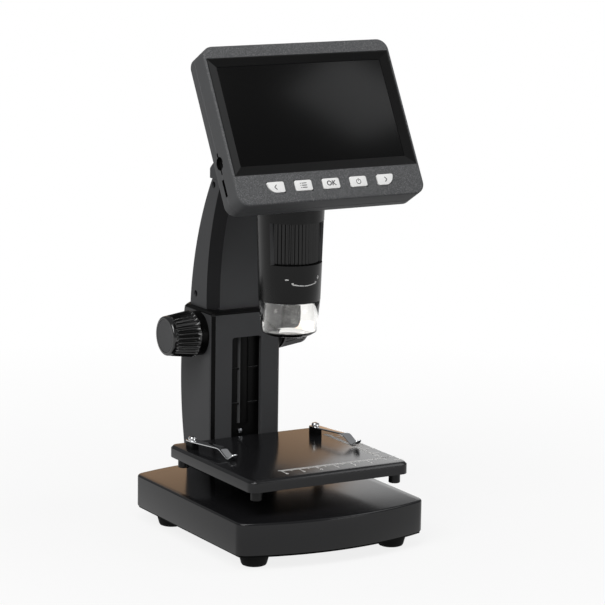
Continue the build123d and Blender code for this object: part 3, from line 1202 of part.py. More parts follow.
with BuildPart() as display_bezel:
    block(HEAD_PLANE.offset(-HEAD_FACE), (-BEVEL_WIDTH / 2, BEVEL_LOW),
          (BEVEL_WIDTH / 2, BEVEL_HIGH), HEAD_FACE)
    block(HEAD_PLANE.offset(-HEAD_FACE), (-WINDOW_WIDTH / 2, WINDOW_LOW),
          (WINDOW_WIDTH / 2, WINDOW_HIGH), HEAD_FACE, Mode.SUBTRACT)
    with BuildSketch(HEAD_PLANE) as bevel_mouth:
        with Locations((0, (BEVEL_LOW + BEVEL_HIGH) / 2)):
            Rectangle(BEVEL_WIDTH - 2 * BEVEL_RIM, BEVEL_HIGH - BEVEL_LOW - 2 * BEVEL_RIM)
    with BuildSketch(HEAD_PLANE.offset(-BEVEL_DEPTH)) as bevel_floor:
        with Locations((0, (WINDOW_LOW + WINDOW_HIGH) / 2)):
            Rectangle(WINDOW_WIDTH, WINDOW_HIGH - WINDOW_LOW)
    loft([bevel_floor.sketch.face(), bevel_mouth.sketch.face()], mode=Mode.SUBTRACT)
display_bezel.part.label = "display_bezel"
export_step(display_bezel.part, "parts/display_bezel.step")

with BuildPart() as display_glass:
    block(HEAD_PLANE.offset(-HEAD_FACE), (FIT_GAP - WINDOW_WIDTH / 2, WINDOW_LOW + FIT_GAP),
          (WINDOW_WIDTH / 2 - FIT_GAP, WINDOW_HIGH - FIT_GAP), HEAD_FACE - BEVEL_DEPTH - FIT_GAP)
display_glass.part.label = "display_glass"
export_step(display_glass.part, "parts/display_glass.step")

with BuildPart() as lcd_panel:
    block(HEAD_PLANE.offset(-HEAD_FACE - LCD_THICKNESS), (-LCD_WIDTH / 2, LCD_LOW),
          (LCD_WIDTH / 2, LCD_HIGH), LCD_THICKNESS)
lcd_panel.part.label = "lcd_panel"
export_step(lcd_panel.part, "parts/lcd_panel.step")

with BuildPart() as main_board:
    board_plane = HEAD_PLANE.offset(-BOARD_BACK_W)
    block(board_plane, (-BOARD_WIDTH / 2, BOARD_LOW), (BOARD_WIDTH / 2, BOARD_HIGH),
          BOARD_THICKNESS)
    block(board_plane, (-BOARD_TAB_WIDTH / 2, BOARD_TAB_LOW), (BOARD_TAB_WIDTH / 2, BOARD_LOW),
          BOARD_THICKNESS)
main_board.part.label = "main_board"
export_step(main_board.part, "parts/main_board.step")

with BuildPart() as tact_switches:
    switch_plane = HEAD_PLANE.offset(-BOARD_FRONT_W)
    with BuildSketch(switch_plane) as switch_bodies:
        with Locations(*BUTTON_SPOTS):
            Rectangle(SWITCH_SIZE, SWITCH_SIZE)
    extrude(switch_bodies.sketch, amount=SWITCH_HEIGHT)
    post(switch_plane, BUTTON_SPOTS, SWITCH_STEM_RADIUS, SWITCH_HEIGHT + SWITCH_STEM_LENGTH)
tact_switches.part.label = "tact_switches"
export_step(tact_switches.part, "parts/tact_switches.step")

with BuildPart() as battery:
    block(HEAD_PLANE.offset(-HEAD_INNER_BACK_W), (BATTERY_X - BATTERY_WIDTH / 2, BATTERY_LOW),
          (BATTERY_X + BATTERY_WIDTH / 2, BATTERY_LOW + BATTERY_LENGTH), BATTERY_THICKNESS)
battery.part.label = "battery"
export_step(battery.part, "parts/battery.step")

SOCKET_X = -HEAD_INNER_HALF + SOCKET_SETBACK

with BuildPart() as card_socket:
    card_half = CARD_SLOT_LENGTH / 2 + CARD_SOCKET_WALL
    card_plane = HEAD_PLANE.offset(-BOARD_BACK_W - CARD_SOCKET_HEIGHT)
    block(card_plane, (SOCKET_X, CARD_SLOT_CENTRE - card_half),
          (SOCKET_X + CARD_SOCKET_DEPTH, CARD_SLOT_CENTRE + card_half), CARD_SOCKET_HEIGHT)
    block(HEAD_PLANE.offset(-BOARD_BACK_W - CARD_SLOT_HEIGHT),
          (SOCKET_X, CARD_SLOT_CENTRE - CARD_SLOT_LENGTH / 2),
          (SOCKET_X + CARD_SOCKET_DEPTH - CARD_SOCKET_END, CARD_SLOT_CENTRE + CARD_SLOT_LENGTH / 2),
          CARD_SLOT_HEIGHT - CARD_SOCKET_ROOF, Mode.SUBTRACT)
card_socket.part.label = "card_socket"
export_step(card_socket.part, "parts/card_socket.step")

with BuildPart() as usb_socket:
    usb_plane = HEAD_PLANE.offset(-BOARD_BACK_W - USB_HEIGHT)
    usb_half = USB_LENGTH / 2
    block(usb_plane, (SOCKET_X, USB_CENTRE - usb_half), (SOCKET_X + USB_DEPTH, USB_CENTRE + usb_half),
          USB_HEIGHT)
    block(HEAD_PLANE.offset(-BOARD_BACK_W - USB_HEIGHT + USB_SHELL),
          (SOCKET_X, USB_CENTRE - usb_half + USB_SHELL),
          (SOCKET_X + USB_DEPTH - USB_END, USB_CENTRE + usb_half - USB_SHELL),
          USB_HEIGHT - 2 * USB_SHELL, Mode.SUBTRACT)
    block(HEAD_PLANE.offset(-BOARD_BACK_W - (USB_HEIGHT + USB_TONGUE_THICKNESS) / 2),
          (SOCKET_X + USB_END, USB_CENTRE - USB_TONGUE_WIDTH / 2),
          (SOCKET_X + USB_DEPTH - USB_END, USB_CENTRE + USB_TONGUE_WIDTH / 2),
          USB_TONGUE_THICKNESS)
usb_socket.part.label = "usb_socket"
export_step(usb_socket.part, "parts/usb_socket.step")

for number, button_node in enumerate(BUTTON_NODES):
    button_x, button_y = BUTTON_SPOTS[number]
    cap_outline = button_outline(number, 0.0)
    with BuildPart() as button:
        with BuildSketch(HEAD_PLANE.offset(-HEAD_FACE - BUTTON_GAP)) as cap_section:
            with Locations((button_x, button_y)):
                add(cap_outline)
        extrude(cap_section.sketch, amount=HEAD_FACE + BUTTON_GAP + BUTTON_PROUD)
        with BuildSketch(HEAD_PLANE.offset(-HEAD_FACE - BUTTON_GAP)) as flange_section:
            with Locations((button_x, button_y)):
                Rectangle(
                    BUTTON_WIDTH + 2 * BUTTON_FLANGE_RIM, BUTTON_HEIGHT + 2 * BUTTON_FLANGE_RIM
                )
        extrude(flange_section.sketch, amount=-BUTTON_FLANGE)
        fillet(button.faces().sort_by(FACE_AXIS)[-1].edges(), BUTTON_EDGE_RADIUS)
    button.part.label = button_node
    export_step(button.part, "parts/" + button_node + ".step")

# ================================================================ barrel
RING_LOW_RISE = WINDOW_BOTTOM_RISE + RING_END_GAP
RING_HIGH_RISE = WINDOW_TOP_RISE - RING_END_GAP

barrel_wall = turned([
    (BARREL_BOTTOM_RADIUS, 0.0),
    (BARREL_TOP_RADIUS, BARREL_LENGTH),
    (BARREL_TOP_RADIUS - BARREL_WALL, BARREL_LENGTH),
    (BARREL_BOTTOM_RADIUS - BARREL_WALL, 0.0),
])
shelf_rises = [WINDOW_BOTTOM_RISE - SHELF_THICKNESS, WINDOW_TOP_RISE, BARREL_LENGTH - SHELF_THICKNESS]
shelf_bores = [LOW_SHELF_BORE, GUIDE_TUBE_RADIUS, GUIDE_TUBE_RADIUS]
shelves = []
for rise, bore in zip(shelf_rises, shelf_bores):
    middle_radius = barrel_radius(rise) - BARREL_WALL / 2
    shelves.append(turned([
        (bore, rise), (middle_radius, rise), (middle_radius, rise + SHELF_THICKNESS),
        (bore, rise + SHELF_THICKNESS),
    ]))

with BuildPart() as barrel_housing:
    add(barrel_wall)
    for shelf in shelves:
        add(shelf)
    with BuildSketch(Plane.XY.offset(BARREL_LOW_Z + WINDOW_BOTTOM_RISE)) as window_wedge:
        with BuildLine():
            reach = 2 * BARREL_TOP_RADIUS
            wedge_x = reach * sin(radians(WINDOW_HALF_ANGLE))
            wedge_y = BARREL_Y - reach * cos(radians(WINDOW_HALF_ANGLE))
            Polyline((0, BARREL_Y), (wedge_x, wedge_y), (wedge_x, BARREL_Y - reach),
                     (-wedge_x, BARREL_Y - reach), (-wedge_x, wedge_y), close=True)
        make_face()
    extrude(window_wedge.sketch, amount=WINDOW_TOP_RISE - WINDOW_BOTTOM_RISE, mode=Mode.SUBTRACT)
    post(Plane.XY.offset(ARM_TOP_Z - SHELF_THICKNESS), BARREL_SCREW_SPOTS, BARREL_SCREW_RADIUS,
         SHELF_THICKNESS, Mode.SUBTRACT)
barrel_housing.part.label = "barrel_housing"
export_step(barrel_housing.part, "parts/barrel_housing.step")

guide_flange_rise = WINDOW_TOP_RISE + SHELF_THICKNESS
with BuildPart() as lens_guide:
    add(turned([
        (GUIDE_TUBE_BORE, GUIDE_TUBE_LOW_RISE), (GUIDE_TUBE_RADIUS, GUIDE_TUBE_LOW_RISE),
        (GUIDE_TUBE_RADIUS, guide_flange_rise), (GUIDE_FLANGE_RADIUS, guide_flange_rise),
        (GUIDE_FLANGE_RADIUS, guide_flange_rise + GUIDE_FLANGE_THICKNESS),
        (GUIDE_TUBE_RADIUS, guide_flange_rise + GUIDE_FLANGE_THICKNESS),
        (GUIDE_TUBE_RADIUS, GUIDE_TUBE_TOP_RISE), (GUIDE_TUBE_BORE, GUIDE_TUBE_TOP_RISE),
    ]))
lens_guide.part.label = "lens_guide"
export_step(lens_guide.part, "parts/lens_guide.step")

with BuildPart() as focus_ring:
    add(turned([
        (GUIDE_TUBE_RADIUS + SHAFT_GAP, RING_LOW_RISE),
        (RING_RADIUS - RING_RIB_DEPTH, RING_LOW_RISE),
        (RING_RADIUS - RING_RIB_DEPTH, RING_HIGH_RISE),
        (GUIDE_TUBE_RADIUS + SHAFT_GAP, RING_HIGH_RISE),
    ]))
    with BuildSketch(Plane.XY.offset(BARREL_LOW_Z + RING_LOW_RISE)) as rib_section:
        with Locations((0, BARREL_Y)):
            with PolarLocations(RING_RADIUS - RING_RIB_DEPTH - RING_RIB_ROOT, RING_RIBS):
                Rectangle(
                    RING_RIB_DEPTH + RING_RIB_ROOT, RING_RIB_WIDTH,
                    align=(Align.MIN, Align.CENTER),
                )
    extrude(rib_section.sketch, amount=RING_HIGH_RISE - RING_LOW_RISE)
focus_ring.part.label = "focus_ring"
export_step(focus_ring.part, "parts/focus_ring.step")

CELL_RADIUS = GUIDE_TUBE_BORE - LENS_CELL_GAP
with BuildPart() as lens_cell:
    add(turned([
        (CELL_RADIUS - LENS_CELL_WALL, LENS_CELL_RISE), (CELL_RADIUS, LENS_CELL_RISE),
        (CELL_RADIUS, LENS_CELL_RISE + LENS_CELL_LENGTH),
        (CELL_RADIUS - LENS_CELL_WALL, LENS_CELL_RISE + LENS_CELL_LENGTH),
    ]))
lens_cell.part.label = "lens_cell"
export_step(lens_cell.part, "parts/lens_cell.step")

with BuildPart() as lens:
    with Locations((0, BARREL_Y, BARREL_LOW_Z + LENS_CELL_RISE + LENS_THICKNESS)):
        Cylinder(CELL_RADIUS - LENS_CELL_WALL, LENS_THICKNESS)
lens.part.label = "lens"
export_step(lens.part, "parts/lens.step")

CAMERA_BOARD_Z = BARREL_LOW_Z + GUIDE_TUBE_TOP_RISE
with BuildPart() as camera_board:
    post(Plane.XY.offset(CAMERA_BOARD_Z), [(0, BARREL_Y)], CAMERA_BOARD_RADIUS,
         CAMERA_BOARD_THICKNESS)
camera_board.part.label = "camera_board"
export_step(camera_board.part, "parts/camera_board.step")

with BuildPart() as image_sensor:
    block(Plane.XY.offset(CAMERA_BOARD_Z - SENSOR_THICKNESS),
          (-SENSOR_SIZE / 2, BARREL_Y - SENSOR_SIZE / 2),
          (SENSOR_SIZE / 2, BARREL_Y + SENSOR_SIZE / 2), SENSOR_THICKNESS)
image_sensor.part.label = "image_sensor"
export_step(image_sensor.part, "parts/image_sensor.step")

SPIGOT_RADIUS = BARREL_BOTTOM_RADIUS - BARREL_WALL
with BuildPart() as clear_cap:
    add(turned([
        (0.0, -CAP_TUBE_LENGTH - CAP_END_LENGTH),
        (CAP_END_RADIUS, -CAP_TUBE_LENGTH - CAP_END_LENGTH),
        (CAP_TUBE_LOW_RADIUS, -CAP_TUBE_LENGTH),
        (CAP_TUBE_TOP_RADIUS, 0.0),
        (SPIGOT_RADIUS, 0.0),
        (SPIGOT_RADIUS, CAP_SPIGOT_LENGTH),
        (SPIGOT_RADIUS - CAP_WALL, CAP_SPIGOT_LENGTH),
        (SPIGOT_RADIUS - CAP_WALL, -CAP_WALL),
        (CAP_TUBE_LOW_RADIUS - CAP_WALL, -CAP_TUBE_LENGTH),
        (CAP_END_RADIUS - CAP_WALL, CAP_WALL - CAP_TUBE_LENGTH - CAP_END_LENGTH),
        (0.0, CAP_WALL - CAP_TUBE_LENGTH - CAP_END_LENGTH),
    ]))
clear_cap.part.label = "clear_cap"
export_step(clear_cap.part, "parts/clear_cap.step")

with BuildPart() as led_ring:
    led_board_radius = SPIGOT_RADIUS - FIT_GAP
    add(turned([
        (LED_BOARD_HOLE, CAP_SPIGOT_LENGTH), (led_board_radius, CAP_SPIGOT_LENGTH),
        (led_board_radius, CAP_SPIGOT_LENGTH + LED_BOARD_THICKNESS),
        (LED_BOARD_HOLE, CAP_SPIGOT_LENGTH + LED_BOARD_THICKNESS),
    ]))
led_ring.part.label = "led_ring"
export_step(led_ring.part, "parts/led_ring.step")

with BuildPart() as leds:
    with Locations((0, BARREL_Y, BARREL_LOW_Z + CAP_SPIGOT_LENGTH - LED_HEIGHT / 2)):
        with PolarLocations(LED_CIRCLE, LED_COUNT):
            Cylinder(LED_RADIUS, LED_HEIGHT)
leds.part.label = "leds"
export_step(leds.part, "parts/leds.step")
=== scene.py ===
"""Looks of a desktop digital microscope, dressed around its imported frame.

Shapes are modelled in millimetres and written to their meshes in metres. Angles are in degrees
where a class holds them as a size, and in radians where they go into an operator.
"""

import json
import logging
import math
from dataclasses import dataclass
from enum import Enum
from functools import lru_cache
from typing import Callable, Iterable, Sequence

import bmesh
import bpy
from bmesh.types import BMEdge, BMesh, BMFace, BMVert
from mathutils import Matrix, Vector

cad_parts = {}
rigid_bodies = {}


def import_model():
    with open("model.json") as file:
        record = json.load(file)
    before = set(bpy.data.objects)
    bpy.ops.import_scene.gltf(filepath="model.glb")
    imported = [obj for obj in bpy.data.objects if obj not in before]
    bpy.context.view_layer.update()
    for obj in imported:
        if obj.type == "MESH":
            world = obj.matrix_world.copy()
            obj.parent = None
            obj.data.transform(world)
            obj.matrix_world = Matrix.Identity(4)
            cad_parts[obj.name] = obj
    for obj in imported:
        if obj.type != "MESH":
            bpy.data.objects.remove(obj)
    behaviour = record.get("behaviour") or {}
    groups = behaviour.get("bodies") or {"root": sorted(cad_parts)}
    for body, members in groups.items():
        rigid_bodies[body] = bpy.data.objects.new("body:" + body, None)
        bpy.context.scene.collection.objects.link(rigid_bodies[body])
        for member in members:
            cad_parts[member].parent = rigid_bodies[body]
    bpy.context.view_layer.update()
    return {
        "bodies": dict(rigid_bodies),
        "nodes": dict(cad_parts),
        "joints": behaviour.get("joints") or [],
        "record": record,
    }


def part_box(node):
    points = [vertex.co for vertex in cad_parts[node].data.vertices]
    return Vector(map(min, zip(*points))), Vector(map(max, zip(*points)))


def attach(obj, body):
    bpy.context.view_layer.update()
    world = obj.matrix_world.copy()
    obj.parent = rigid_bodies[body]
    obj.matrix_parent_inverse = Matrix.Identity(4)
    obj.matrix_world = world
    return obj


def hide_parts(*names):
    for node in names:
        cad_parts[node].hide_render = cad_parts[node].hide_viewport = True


logging.basicConfig(level=logging.INFO, format="%(levelname)s %(message)s")
LOG = logging.getLogger("microscope")

Point2 = tuple[float, float]
Point3 = tuple[float, float, float]
Box2 = tuple[float, float, float, float]
EdgeTest = Callable[[BMEdge], bool]
FaceTest = Callable[[Vector, Vector], bool]

FULL_TURN = 2.0 * math.pi
QUARTER_TURN = math.pi / 2
MM = 0.001  # metres in a millimetre
LEVEL_SLACK = 0.01  # how far an edge may be off the height that it is looked for at
SPUN_WELD = 0.0005  # distance at which points of a spun shape are merged
PACKED_WELD = 0.001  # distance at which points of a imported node's copy are merged
PIECE_WELD = 1e-7  # the same for a finished piece, in metres
FLAT_BEND = 0.5  # bend, in degrees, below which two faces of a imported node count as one
SHARP = 0.5  # bend of a sharp edge in radians, and share of a normal that faces a way
PARALLEL = 0.999  # share of an edge's run that lies along an axis
CUT_PAST = 1.0  # how far a cutter reaches past what it cuts
ROUND_STEPS = 40  # facets round a small round part
MOULDED_CREASE = 32.0  # bend above which the shading of a moulded piece breaks
EDGED_CREASE = 9.0  # the same for an edged copy of a node
CARVED_CREASE = 40.0  # the same for a piece with openings cut in it
ORIGIN: Point3 = (0.0, 0.0, 0.0)
WHITE: Point3 = (1.0, 1.0, 1.0)


class Body(Enum):
    """Bodies of the frame that the pieces ride on."""

    STAND = "stand"
    KNOBS = "knobs"
    CARRIAGE = "carriage"
    FOCUS_RING = "focus_ring"
    LEFT_CLIP = "left_clip_leaf"
    RIGHT_CLIP = "right_clip_leaf"
    BACK_BUTTON = "back_button"
    MENU_BUTTON = "menu_button"
    OK_BUTTON = "ok_button"
    POWER_BUTTON = "power_button"
    NEXT_BUTTON = "next_button"


class Key(Enum):
    """Keys under the display, by their place in the row."""

    BACK = 0
    MENU = 1
    OK = 2
    POWER = 3
    NEXT = 4

    @property
    def node(self) -> str:
        """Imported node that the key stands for."""
        return "button_" + self.name.lower()

    @property
    def body(self) -> Body:
        """Body that the key rides on."""
        return Body[self.name + "_BUTTON"]

    @property
    def outward(self) -> int:
        """Side that an end key's slanted edge faces, or 0 for a plain key."""
        return {Key.BACK: -1, Key.NEXT: 1}.get(self, 0)


# ----------------------------------------------------------------- modelling


@lru_cache(maxsize=None)
def node_box(node: str) -> tuple[Vector, Vector]:
    """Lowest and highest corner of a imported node, in millimetres."""
    low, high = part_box(node)
    return Vector(low) / MM, Vector(high) / MM


def cuboid(low: Sequence[float], high: Sequence[float]) -> BMesh:
    """Closed block between its lowest and its highest corner.

    Args:
        low: Lowest corner.
        high: Highest corner.

    Returns:
        The block's mesh.
    """
    bm = bmesh.new()
    bmesh.ops.create_cube(bm, size=1.0)
    bmesh.ops.scale(bm, vec=Vector(high) - Vector(low), verts=bm.verts)
    bmesh.ops.translate(bm, vec=(Vector(low) + Vector(high)) / 2, verts=bm.verts)
    return bm


def raise_faces(bm: BMesh, faces: Sequence[BMFace], rise: float) -> list[BMVert]:
    """Extrudes faces along z and returns the corners that were raised.

    Args:
        bm: The mesh.
        faces: Faces to extrude.
        rise: How far along z.

    Returns:
        The raised corners.
    """
    geom = bmesh.ops.extrude_face_region(bm, geom=faces)["geom"]
    verts = [item for item in geom if isinstance(item, BMVert)]
    bmesh.ops.translate(bm, vec=(0, 0, rise), verts=verts)
    return verts


def prism(outline: Sequence[Point2], start: float, end: float) -> BMesh:
    """Closed prism that raises an outline in x and y between two heights.

    Args:
        outline: Corners of the outline, in order.
        start: Height of its first end.
        end: Height of its other end.

    Returns:
        The prism's mesh.
    """
    bm = bmesh.new()
    face = bm.faces.new([bm.verts.new((x, y, start)) for x, y in outline])
    raise_faces(bm, [face], end - start)
    bmesh.ops.recalc_face_normals(bm, faces=bm.faces)
    return bm


def lathe(
    profile: Sequence[Point2], steps: int, centre: Sequence[float] = ORIGIN, closed: bool = False
) -> BMesh:
    """Ring or round body spun about a vertical axis.

    Args:
        profile: Radius and height of each corner.
        steps: Facets round the turn.
        centre: Point on the axis.
        closed: Whether the last corner joins the first, as on a ring.

    Returns:
        The spun mesh.
    """
    bm = bmesh.new()
    verts = [bm.verts.new((radius, 0.0, height)) for radius, height in profile]
    pairs = list(zip(verts, verts[1:])) + ([(verts[-1], verts[0])] if closed else [])
    edges = [bm.edges.new(pair) for pair in pairs]
    bmesh.ops.spin(
        bm, geom=verts + edges, cent=(0, 0, 0), axis=(0, 0, 1), angle=FULL_TURN,
        steps=steps, use_merge=True,
    )
    bmesh.ops.remove_doubles(bm, verts=bm.verts, dist=SPUN_WELD)
    bmesh.ops.recalc_face_normals(bm, faces=bm.faces)
    bmesh.ops.translate(bm, vec=centre, verts=bm.verts)
    return bm


def fluted(shape: Callable[[float], float], segments: int, low: float, high: float) -> BMesh:
    """Upright body whose radius changes round the turn.

    Args:
        shape: Radius at an angle in turns.
        segments: Corners of its outline.
        low: Height of its lower end.
        high: Height of its upper end.

    Returns:
        The body's mesh, about the origin's vertical axis.
    """
    bm = bmesh.new()
    bmesh.ops.create_circle(bm, cap_ends=True, radius=1.0, segments=segments)
    for vert in bm.verts:
        turn = (math.atan2(vert.co.y, vert.co.x) / FULL_TURN) % 1.0
        vert.co = vert.co.normalized() * shape(turn)
        vert.co.z = low
    raise_faces(bm, bm.faces[:], high - low)
    bmesh.ops.recalc_face_normals(bm, faces=bm.faces)
    return bm


def slotted_screw(profile: Sequence[Point2], reach: float, width: float, depth: float) -> BMesh:
    """Screw about the origin's vertical axis, with a slot across its head.

    Args:
        profile: Radius and height of each corner, from the foot to the top of the head.
        reach: Half the length of what cuts the slot.
        width: Width of the slot.
        depth: Depth of the slot under the head's top.

    Returns:
        The screw's mesh.
    """
    top = profile[-1][1]
    slit = cuboid((-reach, -width / 2, top - depth), (reach, width / 2, top + CUT_PAST))
    return carved(lathe(profile, ROUND_STEPS), [slit])


def bent(edge: BMEdge) -> bool:
    """Whether the two faces at an edge meet at a sharp angle."""
    return edge.calc_face_angle(0.0) > SHARP


def along(edge: BMEdge, axis: int) -> bool:
    """Whether an edge runs along a coordinate axis."""
    run = (edge.verts[0].co - edge.verts[1].co).normalized()
    return abs(run[axis]) > PARALLEL


def upright(edge: BMEdge) -> bool:
    """Whether an edge runs along z."""
    return along(edge, 2)


def rim_at(height: float) -> EdgeTest:
    """Test for the sharp edges that lie flat at a height.

    Args:
        height: The height.

    Returns:
        The test.
    """

    def on_rim(edge: BMEdge) -> bool:
        """Whether the edge is one of them."""
        return all(abs(vert.co.z - height) < LEVEL_SLACK for vert in edge.verts) and bent(edge)

    return on_rim


def faces_corner(way: Vector, forward: float, sideways: Point2) -> bool:
    """Whether a normal points between the front and a side.

    Args:
        way: The normal.
        forward: Least share of it that points to the front.
        sideways: Least and most share of it that points to a side.

    Returns:
        True if both shares fit.
    """
    return way.y < -forward and sideways[0] < abs(way.x) < sideways[1]


def bevelled(
    bm: BMesh, geom: Sequence[BMEdge | BMVert], width: float, segments: int,
    affect: str = "EDGES", clamp: bool = False,
) -> BMesh:
    """Bevels edges or corners.

    Args:
        bm: The mesh.
        geom: The edges or corners.
        width: Distance from them to where the rounding begins.
        segments: Facets of the rounding.
        affect: EDGES or VERTICES.
        clamp: Whether the width is held back where two roundings would meet.

    Returns:
        The same mesh.
    """
    bmesh.ops.bevel(
        bm, geom=geom, offset=width, offset_type="OFFSET", segments=segments, profile=0.5,
        affect=affect, material=-1, clamp_overlap=clamp,
    )
    return bm


def soften(bm: BMesh, width: float, segments: int, choose: EdgeTest = bent) -> BMesh:
    """Rounds a mesh's sharp edges, or those that a test picks.

    Args:
        bm: The mesh.
        width: Distance from the edge to where the rounding begins.
        segments: Facets of the rounding; one makes a chamfer.
        choose: Test for an edge.

    Returns:
        The same mesh.
    """
    return bevelled(bm, [edge for edge in bm.edges if choose(edge)], width, segments, clamp=True)


def never(_: BMEdge) -> bool:
    """Skips no edge."""
    return False


def edged(node: str, width: float, shortest: float = 0.7, skip: EdgeTest = never) -> BMesh:
    """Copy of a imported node, in millimetres, whose outer edges are eased to catch the light.

    Args:
        node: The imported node.
        width: Width of the eased edge.
        shortest: Length below which an edge is left sharp.
        skip: Test of the edges that are left sharp as well.

    Returns:
        The copy's mesh.
    """
    bm = bmesh.new()
    bm.from_mesh(bpy.data.objects[node].data)
    bmesh.ops.scale(bm, vec=(1 / MM, 1 / MM, 1 / MM), verts=bm.verts)
    bmesh.ops.remove_doubles(bm, verts=bm.verts, dist=PACKED_WELD)
    bmesh.ops.dissolve_limit(
        bm, angle_limit=math.radians(FLAT_BEND), use_dissolve_boundaries=False,
        verts=bm.verts, edges=bm.edges, delimit=set(),
    )

    def outer(edge: BMEdge) -> bool:
        """Whether an edge is sharp, sticks out and is long enough."""
        long = edge.is_manifold and edge.calc_length() > shortest
        return long and edge.is_convex and bent(edge) and not skip(edge)

    return bevelled(bm, [edge for edge in bm.edges if outer(edge)], width, 2)


def joined(parts: Iterable[BMesh]) -> BMesh:
    """One mesh that holds several, which are freed.

    Args:
        parts: The meshes.

    Returns:
        The one mesh.
    """
    whole = bmesh.new()
    for part in parts:
        carrier = bpy.data.meshes.new("carrier")
        part.to_mesh(carrier)
        part.free()
        whole.from_mesh(carrier)
        bpy.data.meshes.remove(carrier)
    return whole


def moved(bm: BMesh, matrix: Matrix) -> BMesh:
    """The mesh after a transform."""
    bmesh.ops.transform(bm, matrix=matrix, verts=bm.verts)
    return bm


def shifted(bm: BMesh, x: float, y: float, z: float = 0.0) -> BMesh:
    """The mesh after a shift."""
    return moved(bm, Matrix.Translation((x, y, z)))


def linked(name: str, data: bpy.types.ID) -> bpy.types.Object:
    """New object that holds the data, linked to the scene.

    Args:
        name: Name of the object.
        data: Its mesh, text, lamp or camera.

    Returns:
        The object.
    """
    holder = bpy.data.objects.new(name, data)
    bpy.context.collection.objects.link(holder)
    return holder


def mesh_object(name: str, bm: BMesh) -> bpy.types.Object:
    """New object that holds the mesh, which is freed.

    Args:
        name: Name of the object and its mesh.
        bm: The mesh.

    Returns:
        The object.
    """
    mesh = bpy.data.meshes.new(name)
    bm.to_mesh(mesh)
    bm.free()
    return linked(name, mesh)


def finished_mesh(holder: bpy.types.Object) -> BMesh:
    """Copy of an object's mesh with its modifiers or its text worked out.

    Args:
        holder: The object.

    Returns:
        The copy.
    """
    graph = bpy.context.evaluated_depsgraph_get()
    mesh = bpy.data.meshes.new_from_object(holder.evaluated_get(graph))
    bm = bmesh.new()
    bm.from_mesh(mesh)
    bpy.data.meshes.remove(mesh)
    return bm


def lettering(text: str, size: float, depth: float, weight: float) -> BMesh:
    """Raised letters, centred on the origin and facing +z.

    Args:
        text: The letters.
        size: Height of the type.
        depth: How far they stand up.
        weight: How much their strokes are drawn out.

    Returns:
        The letters' mesh.
    """
    curve = bpy.data.curves.new("letters", type="FONT")
    curve.body = text
    curve.size = size
    curve.extrude = depth / 2
    curve.offset = weight
    curve.resolution_u = 3
    curve.align_x = "CENTER"
    curve.align_y = "CENTER"
    holder = linked("letters", curve)
    bm = finished_mesh(holder)
    bpy.data.objects.remove(holder)
    bpy.data.curves.remove(curve)
    return bm


def carved(body: BMesh, cutters: Sequence[BMesh]) -> BMesh:
    """The body with the cutters' space taken out.

    Args:
        body: Closed mesh to cut.
        cutters: Closed meshes that cut it.

    Returns:
        The cut mesh.
    """
    target = mesh_object("temporary", body)
    tool = mesh_object("temporary", joined(cutters))
    cut = target.modifiers.new("cut", "BOOLEAN")
    cut.operation = "DIFFERENCE"
    cut.solver = "EXACT"
    cut.use_self = True
    cut.object = tool
    result = finished_mesh(target)
    for holder in (target, tool):
        mesh = holder.data
        bpy.data.objects.remove(holder)
        bpy.data.meshes.remove(mesh)
    return result


# ----------------------------------------------------------------- finishes


def feed(tree: bpy.types.NodeTree, node: bpy.types.Node, inputs: dict[str | int, object]) -> None:
    """Links or sets a node's inputs.

    Args:
        tree: The node's tree.
        node: The node.
        inputs: A socket or a value for each input, by name or number.
    """
    for label, value in inputs.items():
        if isinstance(value, bpy.types.NodeSocket):
            tree.links.new(value, node.inputs[label])
        else:
            node.inputs[label].default_value = value


def add_node(
    tree: bpy.types.NodeTree, kind: str, inputs: dict[str | int, object] | None = None
) -> bpy.types.Node:
    """Adds a shader node and feeds its inputs.

    Args:
        tree: The tree.
        kind: Type of the node.
        inputs: A socket or a value for each input that isn't left alone.

    Returns:
        The node.
    """
    node = tree.nodes.new(kind)
    feed(tree, node, inputs or {})
    return node


def node_of(tree: bpy.types.NodeTree, kind: str) -> bpy.types.Node:
    """First node of a type in a tree."""
    return next(node for node in tree.nodes if node.type == kind)


def math_node(
    tree: bpy.types.NodeTree, operation: str, first: object, second: object
) -> bpy.types.NodeSocket:
    """Adds a math node.

    Args:
        tree: The tree.
        operation: What the node works out.
        first: First socket or number.
        second: Second socket or number.

    Returns:
        The result's socket.
    """
    node = add_node(tree, "ShaderNodeMath", {0: first, 1: second})
    node.operation = operation
    return node.outputs[0]


def noise(
    tree: bpy.types.NodeTree, vector: bpy.types.NodeSocket, scale: object, detail: float
) -> bpy.types.NodeSocket:
    """Adds a noise texture whose scale is a socket or a number."""
    inputs = {"Detail": detail, "Vector": vector, "Scale": scale}
    return add_node(tree, "ShaderNodeTexNoise", inputs).outputs["Fac"]


def mixed(
    tree: bpy.types.NodeTree, factor: bpy.types.NodeSocket, first: object, second: object
) -> bpy.types.NodeSocket:
    """Adds a colour mix.

    Args:
        tree: The tree.
        factor: Share of the second colour.
        first: First socket or colour.
        second: Second socket or colour.

    Returns:
        The mixed colour's socket.
    """
    node = tree.nodes.new("ShaderNodeMix")
    node.data_type = "RGBA"
    tree.links.new(factor, node.inputs["Factor"])
    slots = [socket for socket in node.inputs if socket.type == "RGBA"]
    for socket, value in zip(slots, (first, second)):
        if isinstance(value, bpy.types.NodeSocket):
            tree.links.new(value, socket)
        else:
            socket.default_value = (*value, 1.0)
    return next(socket for socket in node.outputs if socket.type == "RGBA")


def blended(
    tree: bpy.types.NodeTree, share: bpy.types.NodeSocket, first: bpy.types.Node,
    second: bpy.types.Node,
) -> bpy.types.NodeSocket:
    """Adds a mix of two shaders, by the share of the second."""
    inputs = {0: share, 1: first.outputs[0], 2: second.outputs[0]}
    return add_node(tree, "ShaderNodeMixShader", inputs).outputs[0]


